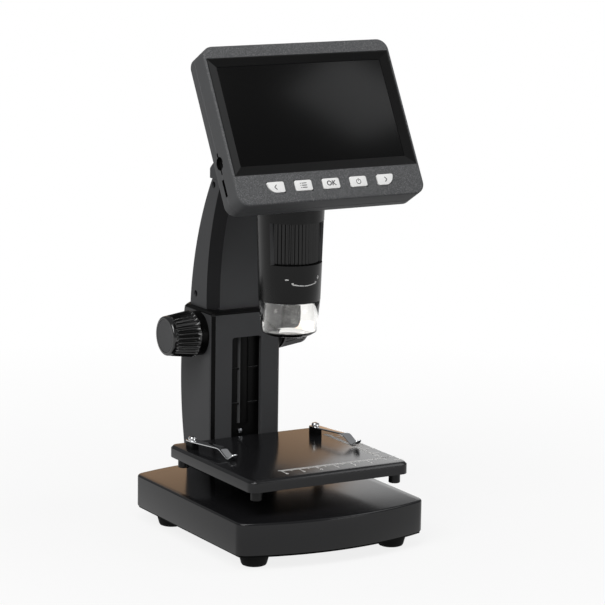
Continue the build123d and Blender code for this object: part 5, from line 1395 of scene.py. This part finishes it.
@dataclass
class Knobs(Assembly):
    """Ridged height knob on each side, with a plain disc set in its face."""

    axis_y: float = 47.0
    axis_z: float = 99.5
    inner_x: float = 25.0
    outer_x: float = 41.0
    inner_radius: float = 12.6
    outer_radius: float = 10.4
    ribs: int = 30
    rib_depth: float = 0.95
    rib_sharpness: float = 1.6
    points_per_rib: int = 12
    face_edge: float = 0.45
    foot_inset: float = 0.9
    foot_rise: float = 0.05
    foot_steps: int = 60
    disc_radius: float = 8.8
    disc_recess: float = 0.7
    disc_gap: float = 0.08
    disc_sink: float = 0.02
    disc_chamfer: float = 0.2
    disc_steps: int = 90
    crease: float = 38.0

    @property
    def length(self) -> float:
        """Length of a knob."""
        return self.outer_x - self.inner_x

    @property
    def rings(self) -> list[Point3]:
        """Distance from the inner end, change of radius and share of the ribs, ring by ring.

        Returns:
            The rings, from the inner end outwards.
        """
        end = self.length
        return [
            (0.0, -0.7, 0.0), (0.4, -0.1, 0.0), (0.9, 0.0, 0.0), (1.5, 0.0, 0.6), (2.1, 0.0, 1.0),
            (end - 3.4, 0.0, 1.0), (end - 2.6, 0.0, 0.7), (end - 1.9, 0.0, 0.0),
            (end - 0.8, 0.0, 0.0), (end - 0.25, -0.15, 0.0), (end, -self.face_edge, 0.0),
        ]

    def shape_ring(self, corners: Iterable[BMVert], ring: Point3) -> None:
        """Sets the outline's corners to their places at one ring of the knob.

        Args:
            corners: The outline's corners.
            ring: Distance, change of radius and share of the ribs.
        """
        run, change, ribbed = ring
        tip = self.inner_radius + (self.outer_radius - self.inner_radius) * run / self.length
        for vert in corners:
            turn = math.atan2(vert.co.y, vert.co.x)
            ridge = (0.5 + 0.5 * math.cos(self.ribs * turn)) ** self.rib_sharpness
            radius = tip + change - self.rib_depth * ribbed * (1.0 - ridge)
            vert.co = Vector((math.cos(turn) * radius, math.sin(turn) * radius, run))

    def placed(self, bm: BMesh, side: int) -> BMesh:
        """The mesh moved from its own axis, its inner end at zero, to its side's shaft end."""
        turn = Matrix.Rotation(side * QUARTER_TURN, 4, "Y")
        return moved(bm, Matrix.Translation((side * self.inner_x, self.axis_y, self.axis_z)) @ turn)

    def grip(self) -> BMesh:
        """Ridged body, made by stepping its outline outwards.

        Returns:
            The grip's mesh.
        """
        bm = bmesh.new()
        segments = self.ribs * self.points_per_rib
        bmesh.ops.create_circle(bm, cap_ends=True, radius=1.0, segments=segments)
        cap = next(iter(bm.faces))
        first, *others = self.rings
        self.shape_ring(cap.verts, first)
        for ring in others:
            cap = bmesh.ops.extrude_discrete_faces(bm, faces=[cap])["faces"][0]
            self.shape_ring(cap.verts, ring)
        rim = self.outer_radius - self.face_edge - self.disc_radius - self.disc_gap
        bmesh.ops.inset_region(bm, faces=[cap], thickness=rim, use_even_offset=True)
        cap = bmesh.ops.extrude_discrete_faces(bm, faces=[cap])["faces"][0]
        bmesh.ops.translate(bm, vec=(0, 0, -self.disc_recess), verts=cap.verts)
        return bm

    def foot(self) -> BMesh:
        """Flat end of the grip towards the column."""
        profile = [(0.0, 0.0), (self.inner_radius - self.foot_inset, 0.0), (0.0, self.foot_rise)]
        return lathe(profile, self.foot_steps, closed=True)

    def disc(self) -> BMesh:
        """Plain disc in the grip's face.

        Returns:
            The disc's mesh.
        """
        radius = self.disc_radius
        low, high = self.length - self.disc_recess, self.length - self.disc_sink
        profile = [
            (0.0, low), (radius, low), (radius, high - self.disc_chamfer),
            (radius - self.disc_chamfer, high), (0.0, high),
        ]
        return lathe(profile, self.disc_steps)

    def build(self) -> None:
        """Builds both knobs and their discs."""
        sides = {"left_knob": -1, "right_knob": 1}
        for node, side in sides.items():
            bm = self.placed(joined([self.grip(), self.foot()]), side)
            bmesh.ops.recalc_face_normals(bm, faces=bm.faces)
            self.paint.publish(
                node + "_grip", bm, "knob_black", Body.KNOBS, node, "knob_black", self.crease
            )
        discs = joined([self.placed(self.disc(), side) for side in sides.values()])
        self.paint.publish(
            "knob_face_discs", discs, "disc_grey", Body.KNOBS, "knob_discs", "disc_grey"
        )


# ----------------------------------------------------------------- the barrel


@dataclass
class Barrel(Assembly):
    """Camera barrel with its focus ring, its print and the clear cap."""

    axis_y: float = -12.7
    top_radius: float = 17.8
    bottom_radius: float = 16.0
    wall: float = 1.5
    bore_chamfer: float = 0.25
    rim_inset: float = 0.35
    rim_rise: float = 0.4
    lip: float = 6.0
    shelf: float = 1.6
    shelf_bore: float = 9.0
    window_low: float = 19.9
    window_high: float = 41.6
    window_half_angle: float = 68.0
    belt_margin: float = 1.0
    belt_inset: float = 0.9
    jamb_half_angle: float = 60.0
    jamb_radius: float = 14.85
    jamb_depth: float = 0.8
    jamb_forward: float = 0.9
    jamb_span: Point2 = (57.0, 70.0)
    cutter_stretch: float = 9.0
    cutter_reach: float = 60.0
    steps: int = 120
    ring_radius: float = 14.7
    ring_bore: float = 8.86
    ring_bore_steps: int = 64
    ring_ribs: int = 45
    rib_depth: float = 0.75
    rib_fullness: float = 0.7
    points_per_rib: int = 8
    print_depth: float = 0.05
    print_rise: float = 10.75
    print_sag: float = 1.1
    print_half_angle: float = 27.0
    print_end_angle: float = 23.5
    print_line: float = 0.5
    print_line_cuts: int = 10
    print_gap: Point2 = (-2.5, -1.5)
    arrow_angle: float = 4.5
    arrow_rises: Point3 = (0.25, 0.75, -0.95)
    minus_place: Point2 = (-34.8, 12.9)
    plus_place: Point2 = (31.2, 13.1)
    sign_half: Point2 = (0.95, 0.3)
    cap_top_radius: float = 15.9
    cap_low_radius: float = 14.3
    cap_tube: float = 16.3
    cap_end: float = 1.7
    cap_end_radius: float = 12.0
    cap_wall: float = 1.2
    cap_spigot: float = 4.0
    cap_ease: float = 0.2
    cap_gap: float = 0.02
    cap_steps: int = 96
    cap_crease: float = 50.0

    @property
    def low_z(self) -> float:
        """Height of the barrel's lower rim."""
        return node_box("barrel_housing")[0].z

    @property
    def length(self) -> float:
        """Length of the barrel."""
        return node_box("barrel_housing")[1].z - self.low_z

    def radius_at(self, rise: float) -> float:
        """Outer radius at a height above the lower rim."""
        share = rise / self.length
        return self.bottom_radius + (self.top_radius - self.bottom_radius) * share

    def turned(self, profile: Sequence[Point2], rise: float = 0.0) -> BMesh:
        """Ring about the barrel's axis, at a height above the lower rim."""
        return lathe(profile, self.steps, (0, self.axis_y, self.low_z + rise), closed=True)

    def housing(self) -> None:
        """Barrel with the window that shows the ring, the window's sloped ends given a painted
        highlight.
        """
        end, shelf = self.length, self.shelf
        bore = self.bottom_radius - self.wall
        bore_top = self.top_radius - self.wall
        wall = self.turned([
            (bore, self.bore_chamfer), (bore + self.bore_chamfer, 0.0),
            (self.bottom_radius - self.rim_inset, 0.0), (self.bottom_radius, self.rim_rise),
            (self.top_radius, end), (bore_top - self.lip, end), (bore_top - self.lip, end - shelf),
            (bore_top, end - shelf),
        ])
        low, high = self.window_low - self.belt_margin, self.window_high + self.belt_margin
        outer = bore + self.belt_inset
        belt = self.turned([
            (self.jamb_radius, low), (outer, low), (outer, high), (self.jamb_radius, high),
        ])
        bm = carved(joined([wall, belt]), [self.window_cutter()])
        for rise in (self.window_low - shelf, self.window_high):
            inner, outer = self.shelf_bore, self.radius_at(rise) - self.wall / 2
            profile = [(inner, 0.0), (outer, 0.0), (outer, shelf), (inner, shelf)]
            bm = joined([bm, self.turned(profile, rise)])
        piece = self.paint.publish(
            "barrel_shell", bm, "barrel_black", Body.CARRIAGE, "barrel_housing", "barrel_black",
            CARVED_CREASE,
        )
        # Painted highlight: the window's sloped ends are given a pale grey that stands in for the
        # light they catch.
        self.paint.tint(piece, "disc_grey", self.on_jamb)

    def on_jamb(self, centre: Vector, way: Vector) -> bool:
        """Whether a face is one of the window's sloped ends, which are given a painted highlight.

        Args:
            centre: The face's centre.
            way: The face's normal.

        Returns:
            True if it is.
        """
        inside = self.window_low < centre.z - self.low_z < self.window_high
        if not inside or way.y > -self.jamb_forward:
            return False
        turn = math.degrees(math.atan2(abs(centre.x), self.axis_y - centre.y))
        return self.jamb_span[0] < turn < self.jamb_span[1]

    def window_cutter(self) -> BMesh:
        """Block that opens the window and slopes its two ends outwards.

        Returns:
            The block's mesh.
        """

        def jamb(radius: float, angle: float) -> Vector:
            """Point of the right jamb at a radius and an angle from the front."""
            turn = math.radians(angle)
            return Vector((radius * math.sin(turn), -radius * math.cos(turn)))

        inner = jamb(self.jamb_radius - self.jamb_depth, self.jamb_half_angle)
        outer = jamb(self.top_radius, self.window_half_angle)
        far = inner + (outer - inner) * self.cutter_stretch
        half = [(inner.x, inner.y), (far.x, far.y), (far.x, far.y - self.cutter_reach)]
        outline = half + [(-x, y) for x, y in reversed(half)]
        bm = prism([(x, y + self.axis_y) for x, y in outline], self.window_low, self.window_high)
        return shifted(bm, 0, 0, self.low_z)

    def focus_ring(self) -> None:
        """Ribbed ring that shows in the window."""
        low, high = node_box("focus_ring")

        def outline(turn: float) -> float:
            """Radius of the ribbed outline at an angle in turns."""
            wave = 0.5 - 0.5 * math.cos(FULL_TURN * self.ring_ribs * turn)
            return self.ring_radius - self.rib_depth * wave**self.rib_fullness

        bm = fluted(outline, self.ring_ribs * self.points_per_rib, low.z, high.z)
        start, end = low.z - CUT_PAST, high.z + CUT_PAST
        profile = [(0.0, start), (self.ring_bore, start), (self.ring_bore, end), (0.0, end)]
        bore = lathe(profile, self.ring_bore_steps, (0, self.axis_y, 0))
        bm = carved(shifted(bm, 0, self.axis_y), [bore])
        self.paint.publish(
            "focus_ring_ribbed", bm, "ring_black", Body.FOCUS_RING, "focus_ring", "barrel_black",
            CARVED_CREASE,
        )

    def on_surface(self, bm: BMesh, angle: float, rise: float) -> BMesh:
        """Wraps a flat print, drawn in x and y, round the barrel's front.

        Args:
            bm: The print, raised along z.
            angle: Angle from the front towards +x.
            rise: Height above the lower rim.

        Returns:
            The same mesh, wrapped.
        """
        for vert in bm.verts:
            radius = self.radius_at(rise + vert.co.y) + vert.co.z
            turn = math.radians(angle) + vert.co.x / self.radius_at(rise)
            x, y = radius * math.sin(turn), self.axis_y - radius * math.cos(turn)
            vert.co = Vector((x, y, self.low_z + rise + vert.co.y))
        return bm

    def arrow_line(self, start: float, end: float) -> BMesh:
        """Sagging line of the printed arrow between two angles.

        Args:
            start: Angle of its left end from the front.
            end: Angle of its right end.

        Returns:
            The line's mesh, wrapped.
        """
        arc = math.radians(1.0) * self.radius_at(self.print_rise)
        half, reach = self.print_line / 2, self.print_half_angle * arc
        bar = cuboid((start * arc, -half, 0.0), (end * arc, half, self.print_depth))
        lengthwise = [edge for edge in bar.edges if along(edge, 0)]
        bmesh.ops.subdivide_edges(bar, edges=lengthwise, cuts=self.print_line_cuts)
        for vert in bar.verts:
            vert.co.y -= self.print_sag * (1.0 - (vert.co.x / reach) ** 2)
        return self.on_surface(bar, 0.0, self.print_rise)

    def arrow_head(self, way: int) -> BMesh:
        """Printed head at one end of the arrow.

        Args:
            way: -1 for the left end and 1 for the right.

        Returns:
            The head's mesh, wrapped.
        """
        arc = math.radians(1.0) * self.radius_at(self.print_rise)
        tip = way * self.print_half_angle * arc
        base = way * (self.print_half_angle - self.arrow_angle) * arc
        tip_rise, upper, lower = self.arrow_rises
        head = prism([(tip, tip_rise), (base, upper), (base, lower)], 0.0, self.print_depth)
        return self.on_surface(head, 0.0, self.print_rise)

    def print_marks(self) -> None:
        """Two-headed arrow with a minus and a plus sign."""
        long, thin = self.sign_half
        bar = ((-long, -thin, 0.0), (long, thin, self.print_depth))
        post = ((-thin, -long, 0.0), (thin, long, self.print_depth))
        parts = [
            self.arrow_line(-self.print_end_angle, self.print_gap[0]),
            self.arrow_line(self.print_gap[1], self.print_end_angle),
            self.arrow_head(-1),
            self.arrow_head(1),
            self.on_surface(cuboid(*bar), *self.minus_place),
            self.on_surface(cuboid(*bar), *self.plus_place),
            self.on_surface(cuboid(*post), *self.plus_place),
        ]
        self.paint.publish("focus_print", joined(parts), "print_white", Body.CARRIAGE)

    def clear_cap(self) -> None:
        """Thin clear cap with a stepped rim and a thick floor edge."""
        bore = self.bottom_radius - self.wall
        inner, fit = bore - self.cap_wall, bore - self.cap_gap
        tube, floor = -self.cap_tube, -self.cap_tube - self.cap_end
        low, top, end = self.cap_low_radius, self.cap_top_radius, self.cap_end_radius
        wall, ease = self.cap_wall, self.cap_ease
        profile = [
            (0.0, floor), (end - 2 * ease, floor), (end, floor + 0.75 * ease),
            (low - ease, tube - ease), (low, tube + ease),
            (top, -1.5 * ease), (top - ease, -self.cap_gap),
            (fit, -self.cap_gap), (fit, self.cap_spigot), (inner, self.cap_spigot),
            (inner, -5 * ease), (low - wall, tube + 3 * ease),
            (end - wall, floor + wall), (0.0, floor + wall),
        ]
        bm = lathe(profile, self.cap_steps, (0, self.axis_y, self.low_z))
        self.paint.publish(
            "clear_cap_moulded", bm, "cap_clear", Body.CARRIAGE, "clear_cap", "cap_clear",
            self.cap_crease,
        )

    def build(self) -> None:
        """Builds the barrel."""
        self.housing()
        self.focus_ring()
        self.print_marks()
        self.clear_cap()


# ----------------------------------------------------------------- the head


@dataclass
class Head(Assembly):
    """Tilted head: its shells, display and buttons.

    Its parts are modelled flat, x across, y up the face and z outwards from it, and then placed.
    """

    origin: Point3 = (0.0, -46.61, 202.91)
    tilt: float = 29.5
    half_width: float = 53.9
    low: float = -21.1
    high: float = 64.25
    thickness: float = 17.0
    front_depth: float = 10.4
    corner_radius: float = 6.0
    front_edge: float = 1.0
    back_chamfer: float = 1.8
    seam: float = 0.28
    screw_spots: tuple[Point2, ...] = ((-47.0, -16.0), (47.0, -16.0), (-47.0, 59.6), (47.0, 59.6))
    screw_radius: float = 2.0
    screw_depth: float = 1.0
    screw_past: float = 1.6
    pocket_steps: int = 32
    bevel: Box2 = (-52.7, -5.36, 52.7, 57.71)
    window: Box2 = (-47.52, -0.1, 47.52, 53.34)
    bevel_depth: float = 1.3
    bevel_gap: float = 0.08
    bevel_sink: float = 0.12
    bevel_rim: float = 0.3
    bevel_top: float = -0.05
    bevel_crease: float = 10.0
    glass_sink: float = 0.1
    glass_edge: float = 0.15
    face: float = 2.6
    button_row: float = -12.6
    button_pitch: float = 15.85
    button_width: float = 9.6
    button_height: float = 5.6
    button_proud: float = 0.5
    button_foot: float = 0.3
    button_gap: float = 0.25
    button_cut: float = 3.6
    button_curve_steps: int = 8
    button_bulge: Point2 = (0.765, 0.495)
    button_corner: float = 0.9
    button_corner_bend: float = 0.4
    button_edge: float = 0.3
    button_crease: float = 35.0
    icon_depth: float = 0.04
    icon_sink: float = 0.01
    arrow_tip: float = 0.75
    arrow_back: float = 0.45
    arrow_rise: float = 1.25
    arrow_line: float = 0.45
    list_rows: Point3 = (-1.15, 0.0, 1.15)
    list_bars: tuple[Point2, ...] = ((-1.05, 1.75), (-1.95, -1.5))
    list_line: float = 0.42
    letter_size: float = 3.6
    letter_weight: float = 0.09
    power_ring: Point2 = (1.05, 1.4)
    power_drop: float = 0.1
    power_gap: Box2 = (-0.45, 0.5, 0.45, 2.5)
    power_bar: Point2 = (0.15, 1.6)
    power_line: float = 0.36
    card_centre: float = 5.3
    card_length: float = 11.6
    card_depths: Point2 = (-10.6, -9.3)
    notch_radius: float = 3.4
    notch_span: Point2 = (-2.0, 1.3)
    notch_depth: float = -9.6
    usb_centre: float = -7.5
    usb_length: float = 9.0
    usb_depths: Point2 = (-11.5, -9.4)
    slot_reach: float = 4.0
    slot_span: Point2 = (0.25, 4.2)
    slot_slack: float = 0.05
    slot_depths: Point2 = (-13.2, -8.0)

    @property
    def place(self) -> Matrix:
        """Transform from the flat head to where it sits.

        Returns:
            The transform.
        """
        sine, cosine = math.sin(math.radians(self.tilt)), math.cos(math.radians(self.tilt))
        turn = Matrix(((1, 0, 0, 0), (0, sine, -cosine, 0), (0, cosine, sine, 0), (0, 0, 0, 1)))
        return Matrix.Translation(self.origin) @ turn

    def publish(
        self, name: str, bm: BMesh, finish: str, node: str, slot: str, crease: float
    ) -> bpy.types.Object:
        """Places a part that was modelled flat and publishes it on the carriage."""
        placed = moved(bm, self.place)
        return self.paint.publish(name, placed, finish, Body.CARRIAGE, node, slot, crease)

    def slab(self, back: float, front: float) -> BMesh:
        """Slab of the head's outline with rounded corners, between two depths."""
        bm = cuboid((-self.half_width, self.low, back), (self.half_width, self.high, front))
        return soften(bm, self.corner_radius, 9, upright)

    def button_outline(self, key: Key, grow: float) -> list[Point2]:
        """Corners of one button about its own centre.

        Args:
            key: The key.
            grow: How far the outline is drawn out.

        Returns:
            The corners, in order.
        """
        wide = self.button_width / 2 + grow
        high = self.button_height / 2 + grow
        outer = key.outward
        if outer == 0:
            return [(-wide, -high), (wide, -high), (wide, high), (-wide, high)]
        foot = wide - self.button_cut
        curve = []
        for step in range(self.button_curve_steps + 1):
            share = step / self.button_curve_steps
            swell = math.sin(math.pi * share)
            x = foot + (wide - foot) * share + swell * self.button_bulge[0]
            y = -high + 2 * high * share - swell * self.button_bulge[1]
            curve.append((outer * x, y))
        corners = [(-outer * wide, -high)] + curve + [(-outer * wide, high)]
        return corners if outer > 0 else corners[::-1]

    def button_centre(self, key: Key) -> Point2:
        """Centre of a button on the face."""
        return ((key.value - Key.OK.value) * self.button_pitch, self.button_row)

    def side_cutters(self) -> list[BMesh]:
        """Openings for the card, with its finger notch, and for the USB plug.

        Returns:
            The cutters.
        """
        edge = -self.half_width
        cutters = []
        for centre, length, (low, high) in (
            (self.card_centre, self.card_length, self.card_depths),
            (self.usb_centre, self.usb_length, self.usb_depths),
        ):
            cutters.append(cuboid(
                (edge - CUT_PAST, centre - length / 2, low),
                (edge + self.slot_reach, centre + length / 2, high),
            ))
        start, end = self.notch_span
        profile = [(0.0, start), (self.notch_radius, start), (self.notch_radius, end), (0.0, end)]
        spot = Matrix.Translation((edge, self.card_centre, self.notch_depth))
        turn = Matrix.Rotation(QUARTER_TURN, 4, "Y")
        cutters.append(moved(lathe(profile, self.pocket_steps), spot @ turn))
        return cutters

    def in_slot(self, centre: Vector, _: Vector) -> bool:
        """Whether a face lies inside the card slot, its notch or the USB mouth, whose walls are
        made near black as painted shade.

        Args:
            centre: The face's centre.
            _: The face's normal, which doesn't matter.

        Returns:
            True if it does.
        """
        near, far = (-self.half_width + reach for reach in self.slot_span)
        if not near < centre.x < far:
            return False
        place = self.place.inverted() @ centre
        near_card = abs(place.y - self.card_centre) < self.card_length / 2 + self.slot_slack
        near_usb = abs(place.y - self.usb_centre) < self.usb_length / 2 + self.slot_slack
        return (near_card or near_usb) and self.slot_depths[0] < place.z < self.slot_depths[1]

    def front_shell(self) -> None:
        """Grained front shell with the display recess and the button holes."""
        bm = self.slab(-self.front_depth, 0.0)
        soften(bm, self.front_edge, 4, rim_at(0.0))
        soften(bm, self.seam, 1, rim_at(-self.front_depth))
        x0, y0, x1, y1 = self.bevel
        cutters = [cuboid((x0, y0, -self.face), (x1, y1, CUT_PAST))]
        for key in Key:
            hole = prism(self.button_outline(key, self.button_gap), -self.face, CUT_PAST)
            cutters.append(shifted(hole, *self.button_centre(key)))
        piece = self.publish(
            "head_front_moulding", carved(bm, cutters + self.side_cutters()), "head_side",
            "head_front_shell", "head_graphite", CARVED_CREASE,
        )
        outward = self.place.to_3x3() @ Vector((0, 0, 1))
        self.paint.tint(piece, "head_graphite", lambda _, way: way.dot(outward) > SHARP)
        # Painted shade: the walls inside the side openings are made near black.
        self.paint.tint(piece, "slot_black", self.in_slot)

    def rear_shell(self) -> None:
        """Rear shell with a chamfered back edge and four screw recesses."""
        bm = self.slab(-self.thickness, -self.front_depth)
        soften(bm, self.back_chamfer, 2, rim_at(-self.thickness))
        soften(bm, self.seam, 1, rim_at(-self.front_depth))
        start, end, radius = -self.screw_past, self.screw_depth, self.screw_radius
        profile = [(0.0, start), (radius, start), (radius, end), (0.0, end)]
        recesses = [
            lathe(profile, self.pocket_steps, (x, y, -self.thickness)) for x, y in self.screw_spots
        ]
        piece = self.publish(
            "head_rear_moulding", carved(bm, recesses + self.side_cutters()), "head_side",
            "head_rear_shell", "head_graphite", CARVED_CREASE,
        )
        # Painted shade: the walls inside the side openings are made near black.
        self.paint.tint(piece, "slot_black", self.in_slot)

    def bezel(self) -> None:
        """Glossy frame that slopes down to the glass on all four sides."""
        x0, y0, x1, y1 = self.bevel
        a0, b0, a1, b1 = self.window
        gap, rim = self.bevel_gap, self.bevel_rim
        frame = cuboid((x0 + gap, y0 + gap, -self.face), (x1 - gap, y1 - gap, -self.bevel_sink))
        cutter = cuboid((a0, b0, -self.face - CUT_PAST), (a1, b1, -self.bevel_depth))
        top = next(face for face in cutter.faces if face.normal.z > 0.9)
        corners = raise_faces(cutter, [top], 0.0)
        cutter.faces.remove(top)
        for vert in corners:
            vert.co.x = x0 + rim if vert.co.x < 0 else x1 - rim
            vert.co.y = y0 + rim if vert.co.y < (b0 + b1) / 2 else y1 - rim
            vert.co.z = self.bevel_top
        bmesh.ops.recalc_face_normals(cutter, faces=cutter.faces)
        self.publish(
            "display_bevel", carved(frame, [cutter]), "bezel_gloss", "display_bezel",
            "bezel_gloss", self.bevel_crease,
        )

    def glass(self) -> None:
        """Display glass with ground edges."""
        a0, b0, a1, b1 = self.window
        gap = self.bevel_gap
        top = -self.bevel_depth - self.glass_sink
        bm = cuboid((a0 + gap, b0 + gap, -self.face), (a1 - gap, b1 - gap, top))
        soften(bm, self.glass_edge, 2)
        self.publish(
            "display_pane", bm, "screen_glass", "display_glass", "screen_glass", MOULDED_CREASE
        )

    def button(self, key: Key) -> None:
        """One key with a softened top, and its icon.

        Args:
            key: The key.
        """
        outline = self.button_outline(key, 0.0)
        bm = prism(outline, -self.face - self.button_foot, self.button_proud)

        def on_corner(edge: BMEdge) -> bool:
            """Whether an edge is one of the key's upright corners."""
            return upright(edge) and edge.calc_face_angle(0.0) > self.button_corner_bend

        soften(bm, self.button_corner, 4, on_corner)
        soften(bm, self.button_edge, 3, rim_at(self.button_proud))
        pieces = {"_key": (bm, "button_white", 0.0, key.node)}
        pieces["_icon"] = (joined(self.icon(key)), "icon_grey", self.button_proud, "")
        for ending, (part, finish, rise, node) in pieces.items():
            moved(part, self.place @ Matrix.Translation((*self.button_centre(key), rise)))
            self.paint.publish(
                key.node + ending, part, finish, key.body, node, crease=self.button_crease,
                merge=False,
            )

    def bar(self, x0: float, y0: float, x1: float, y1: float, width: float) -> BMesh:
        """Printed bar between two points, facing outwards.

        Args:
            x0: Place of its first end across the key.
            y0: Place of its first end up the key.
            x1: Place of its other end across.
            y1: Place of its other end up.
            width: Width of the bar.

        Returns:
            The bar's mesh.
        """
        run = Vector((x1 - x0, y1 - y0, 0))
        low = (-run.length / 2, -width / 2, -self.icon_sink)
        high = (run.length / 2, width / 2, self.icon_depth)
        turn = Matrix.Rotation(math.atan2(run.y, run.x), 4, "Z")
        middle = Matrix.Translation(((x0 + x1) / 2, (y0 + y1) / 2, 0))
        return moved(cuboid(low, high), middle @ turn)

    def icon(self, key: Key) -> list[BMesh]:
        """Parts of the icon on a key: an arrow head, a list, two letters or a power sign.

        Args:
            key: The key.

        Returns:
            The parts.
        """
        if key.outward:
            tip, back = key.outward * self.arrow_tip, -key.outward * self.arrow_back
            rises = (self.arrow_rise, -self.arrow_rise)
            return [self.bar(back, rise, tip, 0.0, self.arrow_line) for rise in rises]
        if key is Key.MENU:
            return [
                self.bar(start, row, end, row, self.list_line)
                for row in self.list_rows for start, end in self.list_bars
            ]
        if key is Key.OK:
            return [lettering("OK", self.letter_size, 2 * self.icon_depth, self.letter_weight)]
        (inner, outer), top = self.power_ring, self.icon_depth
        profile = [(inner, 0.0), (outer, 0.0), (outer, top), (inner, top)]
        ring = lathe(profile, ROUND_STEPS, (0, -self.power_drop, 0), closed=True)
        x0, y0, x1, y1 = self.power_gap
        gap = cuboid((x0, y0, -CUT_PAST), (x1, y1, CUT_PAST))
        start, end = self.power_bar
        return [carved(ring, [gap]), self.bar(0.0, start, 0.0, end, self.power_line)]

    def build(self) -> None:
        """Builds the head."""
        self.front_shell()
        self.rear_shell()
        self.bezel()
        self.glass()
        for key in Key:
            self.button(key)


# ----------------------------------------------------------------- the studio


@dataclass(frozen=True)
class Lamp:
    """Soft rectangular lamp that faces a point; its sizes are in metres and watts."""

    name: str
    place: Point3
    size: Point2
    power: float
    color: Point3 = WHITE
    target: Point3 = (0.0, 0.0, 0.12)

    def build(self) -> None:
        """Makes the lamp."""
        data = bpy.data.lights.new(self.name, type="AREA")
        data.shape = "RECTANGLE"
        data.size, data.size_y = self.size
        data.energy = self.power
        data.color = self.color
        lamp = linked(self.name, data)
        lamp.visible_camera = False
        lamp.location = self.place
        lamp.rotation_mode = "QUATERNION"
        way = Vector(self.target) - Vector(self.place)
        lamp.rotation_quaternion = way.to_track_quat("-Z", "Y")


LAMPS = (
    Lamp("key", (-1.5, -0.9, 1.5), (1.4, 1.4), 26.0, (1.0, 0.995, 0.985)),
    Lamp("fill", (1.5, -0.85, 1.65), (1.0, 1.0), 6.0, (0.98, 0.99, 1.0)),
    Lamp("top", (-0.6, -1.1, 2.2), (1.0, 1.0), 12.0),
    Lamp("rib_card", (0.95, -1.6, 0.2), (0.5, 0.2), 1.5),
    Lamp(
        "warm_card", (0.5064, 1.1516, 0.24), (0.42, 0.5), 0.24, (1.0, 0.45, 0.05),
        (-0.1211, 0.0703, 0.24),
    ),
    Lamp(
        "pale_card", (0.861, 0.9458, 0.24), (0.4, 0.5), 0.55, target=(0.2336, -0.1355, 0.24),
    ),
)


@dataclass
class Studio:
    """Camera, floor, lights and world; its sizes are in metres, the camera's in millimetres."""

    lens: float = 177.67
    sensor: float = 36.0
    location: Point3 = (-0.7515, -1.32057, 0.41576)
    right: Point3 = (0.86610, -0.49966, 0.01436)
    up: Point3 = (0.08251, 0.17124, 0.98177)
    back: Point3 = (-0.49301, -0.84913, 0.18954)
    floor_size: float = 6.0
    floor_roughness: float = 0.9
    floor_grey: float = 0.25
    floor_white: float = 0.9
    shadow_reach: Point2 = (0.12, 0.5)
    shadow_share: Point2 = (0.84, 1.0)
    mirrored_floor: float = 0.62
    world_color: Point3 = (0.65, 0.655, 0.665)
    world_strength: float = 0.35

    def camera(self) -> None:
        """Camera that looks at the microscope from its front left."""
        data = bpy.data.cameras.new("camera")
        data.lens = self.lens
        data.sensor_width = self.sensor
        camera = linked("camera", data)
        axes = Matrix((self.right, self.up, self.back)).transposed().to_4x4()
        camera.matrix_world = Matrix.Translation(self.location) @ axes
        bpy.context.scene.camera = camera

    def floor(self) -> None:
        """Pale floor that keeps the object's shadow."""
        bm = bmesh.new()
        bmesh.ops.create_grid(bm, x_segments=1, y_segments=1, size=self.floor_size / 2)
        floor = mesh_object("floor", bm)
        floor.data.materials.append(self.floor_material())

    def floor_material(self) -> bpy.types.Material:
        """White to the camera, with the shadow left near the object, and paler in reflections.

        Returns:
            The material.
        """
        material = bpy.data.materials.new("floor_white")
        material.use_nodes = True
        tree = material.node_tree
        shader = node_of(tree, "BSDF_PRINCIPLED")
        grey, white = (self.floor_grey,) * 3, (self.floor_white,) * 3
        pale = mixed(tree, self.seen(tree, False), grey, white)
        feed(tree, shader, {"Roughness": self.floor_roughness, "Base Color": pale})
        place = tree.nodes.new("ShaderNodeTexCoord")
        away = add_node(tree, "ShaderNodeVectorMath", {0: place.outputs["Object"]})
        away.operation = "LENGTH"
        fade = add_node(tree, "ShaderNodeMapRange", {
            "Value": away.outputs["Value"],
            "From Min": self.shadow_reach[0],
            "From Max": self.shadow_reach[1],
            "To Min": self.shadow_share[0],
            "To Max": self.shadow_share[1],
        })
        share = math_node(tree, "MULTIPLY", self.seen(tree, True), fade.outputs["Result"])
        blend = blended(tree, share, shader, tree.nodes.new("ShaderNodeEmission"))
        feed(tree, node_of(tree, "OUTPUT_MATERIAL"), {"Surface": blend})
        return material

    def seen(self, tree: bpy.types.NodeTree, glossy: bool) -> bpy.types.NodeSocket:
        """One for rays from the camera or through glass, and less for mirrored rays if asked.

        Args:
            tree: The tree.
            glossy: Whether mirrored rays count as well.

        Returns:
            The share's socket.
        """
        rays = tree.nodes.new("ShaderNodeLightPath").outputs
        direct = math_node(tree, "MAXIMUM", rays["Is Camera Ray"], rays["Is Transmission Ray"])
        if not glossy:
            return direct
        mirrored = math_node(tree, "MULTIPLY", rays["Is Glossy Ray"], self.mirrored_floor)
        return math_node(tree, "MAXIMUM", direct, mirrored)

    def world(self) -> None:
        """White to the camera and through glass, a soft grey studio for everything else."""
        world = bpy.data.worlds.new("studio")
        bpy.context.scene.world = world
        world.use_nodes = True
        tree = world.node_tree
        tree.nodes.clear()
        grey = {"Color": (*self.world_color, 1.0), "Strength": self.world_strength}
        soft = add_node(tree, "ShaderNodeBackground", grey)
        bright = add_node(tree, "ShaderNodeBackground", {"Color": (*WHITE, 1.0)})
        blend = blended(tree, self.seen(tree, False), soft, bright)
        add_node(tree, "ShaderNodeOutputWorld", {"Surface": blend})

    def build(self) -> None:
        """Sets up the studio."""
        self.camera()
        self.floor()
        for lamp in LAMPS:
            lamp.build()
        self.world()
        bpy.context.scene.view_settings.view_transform = "Standard"


def main() -> None:
    """Builds the scene in order."""
    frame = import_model()
    Studio().build()
    paint = Paintbox()
    paint.dress_frame(frame)
    for assembly in (StandBase, Stage, SpringClips, Column, Arm, Knobs, Barrel, Head):
        assembly(paint).build()


if __name__ == "__main__":
    main()
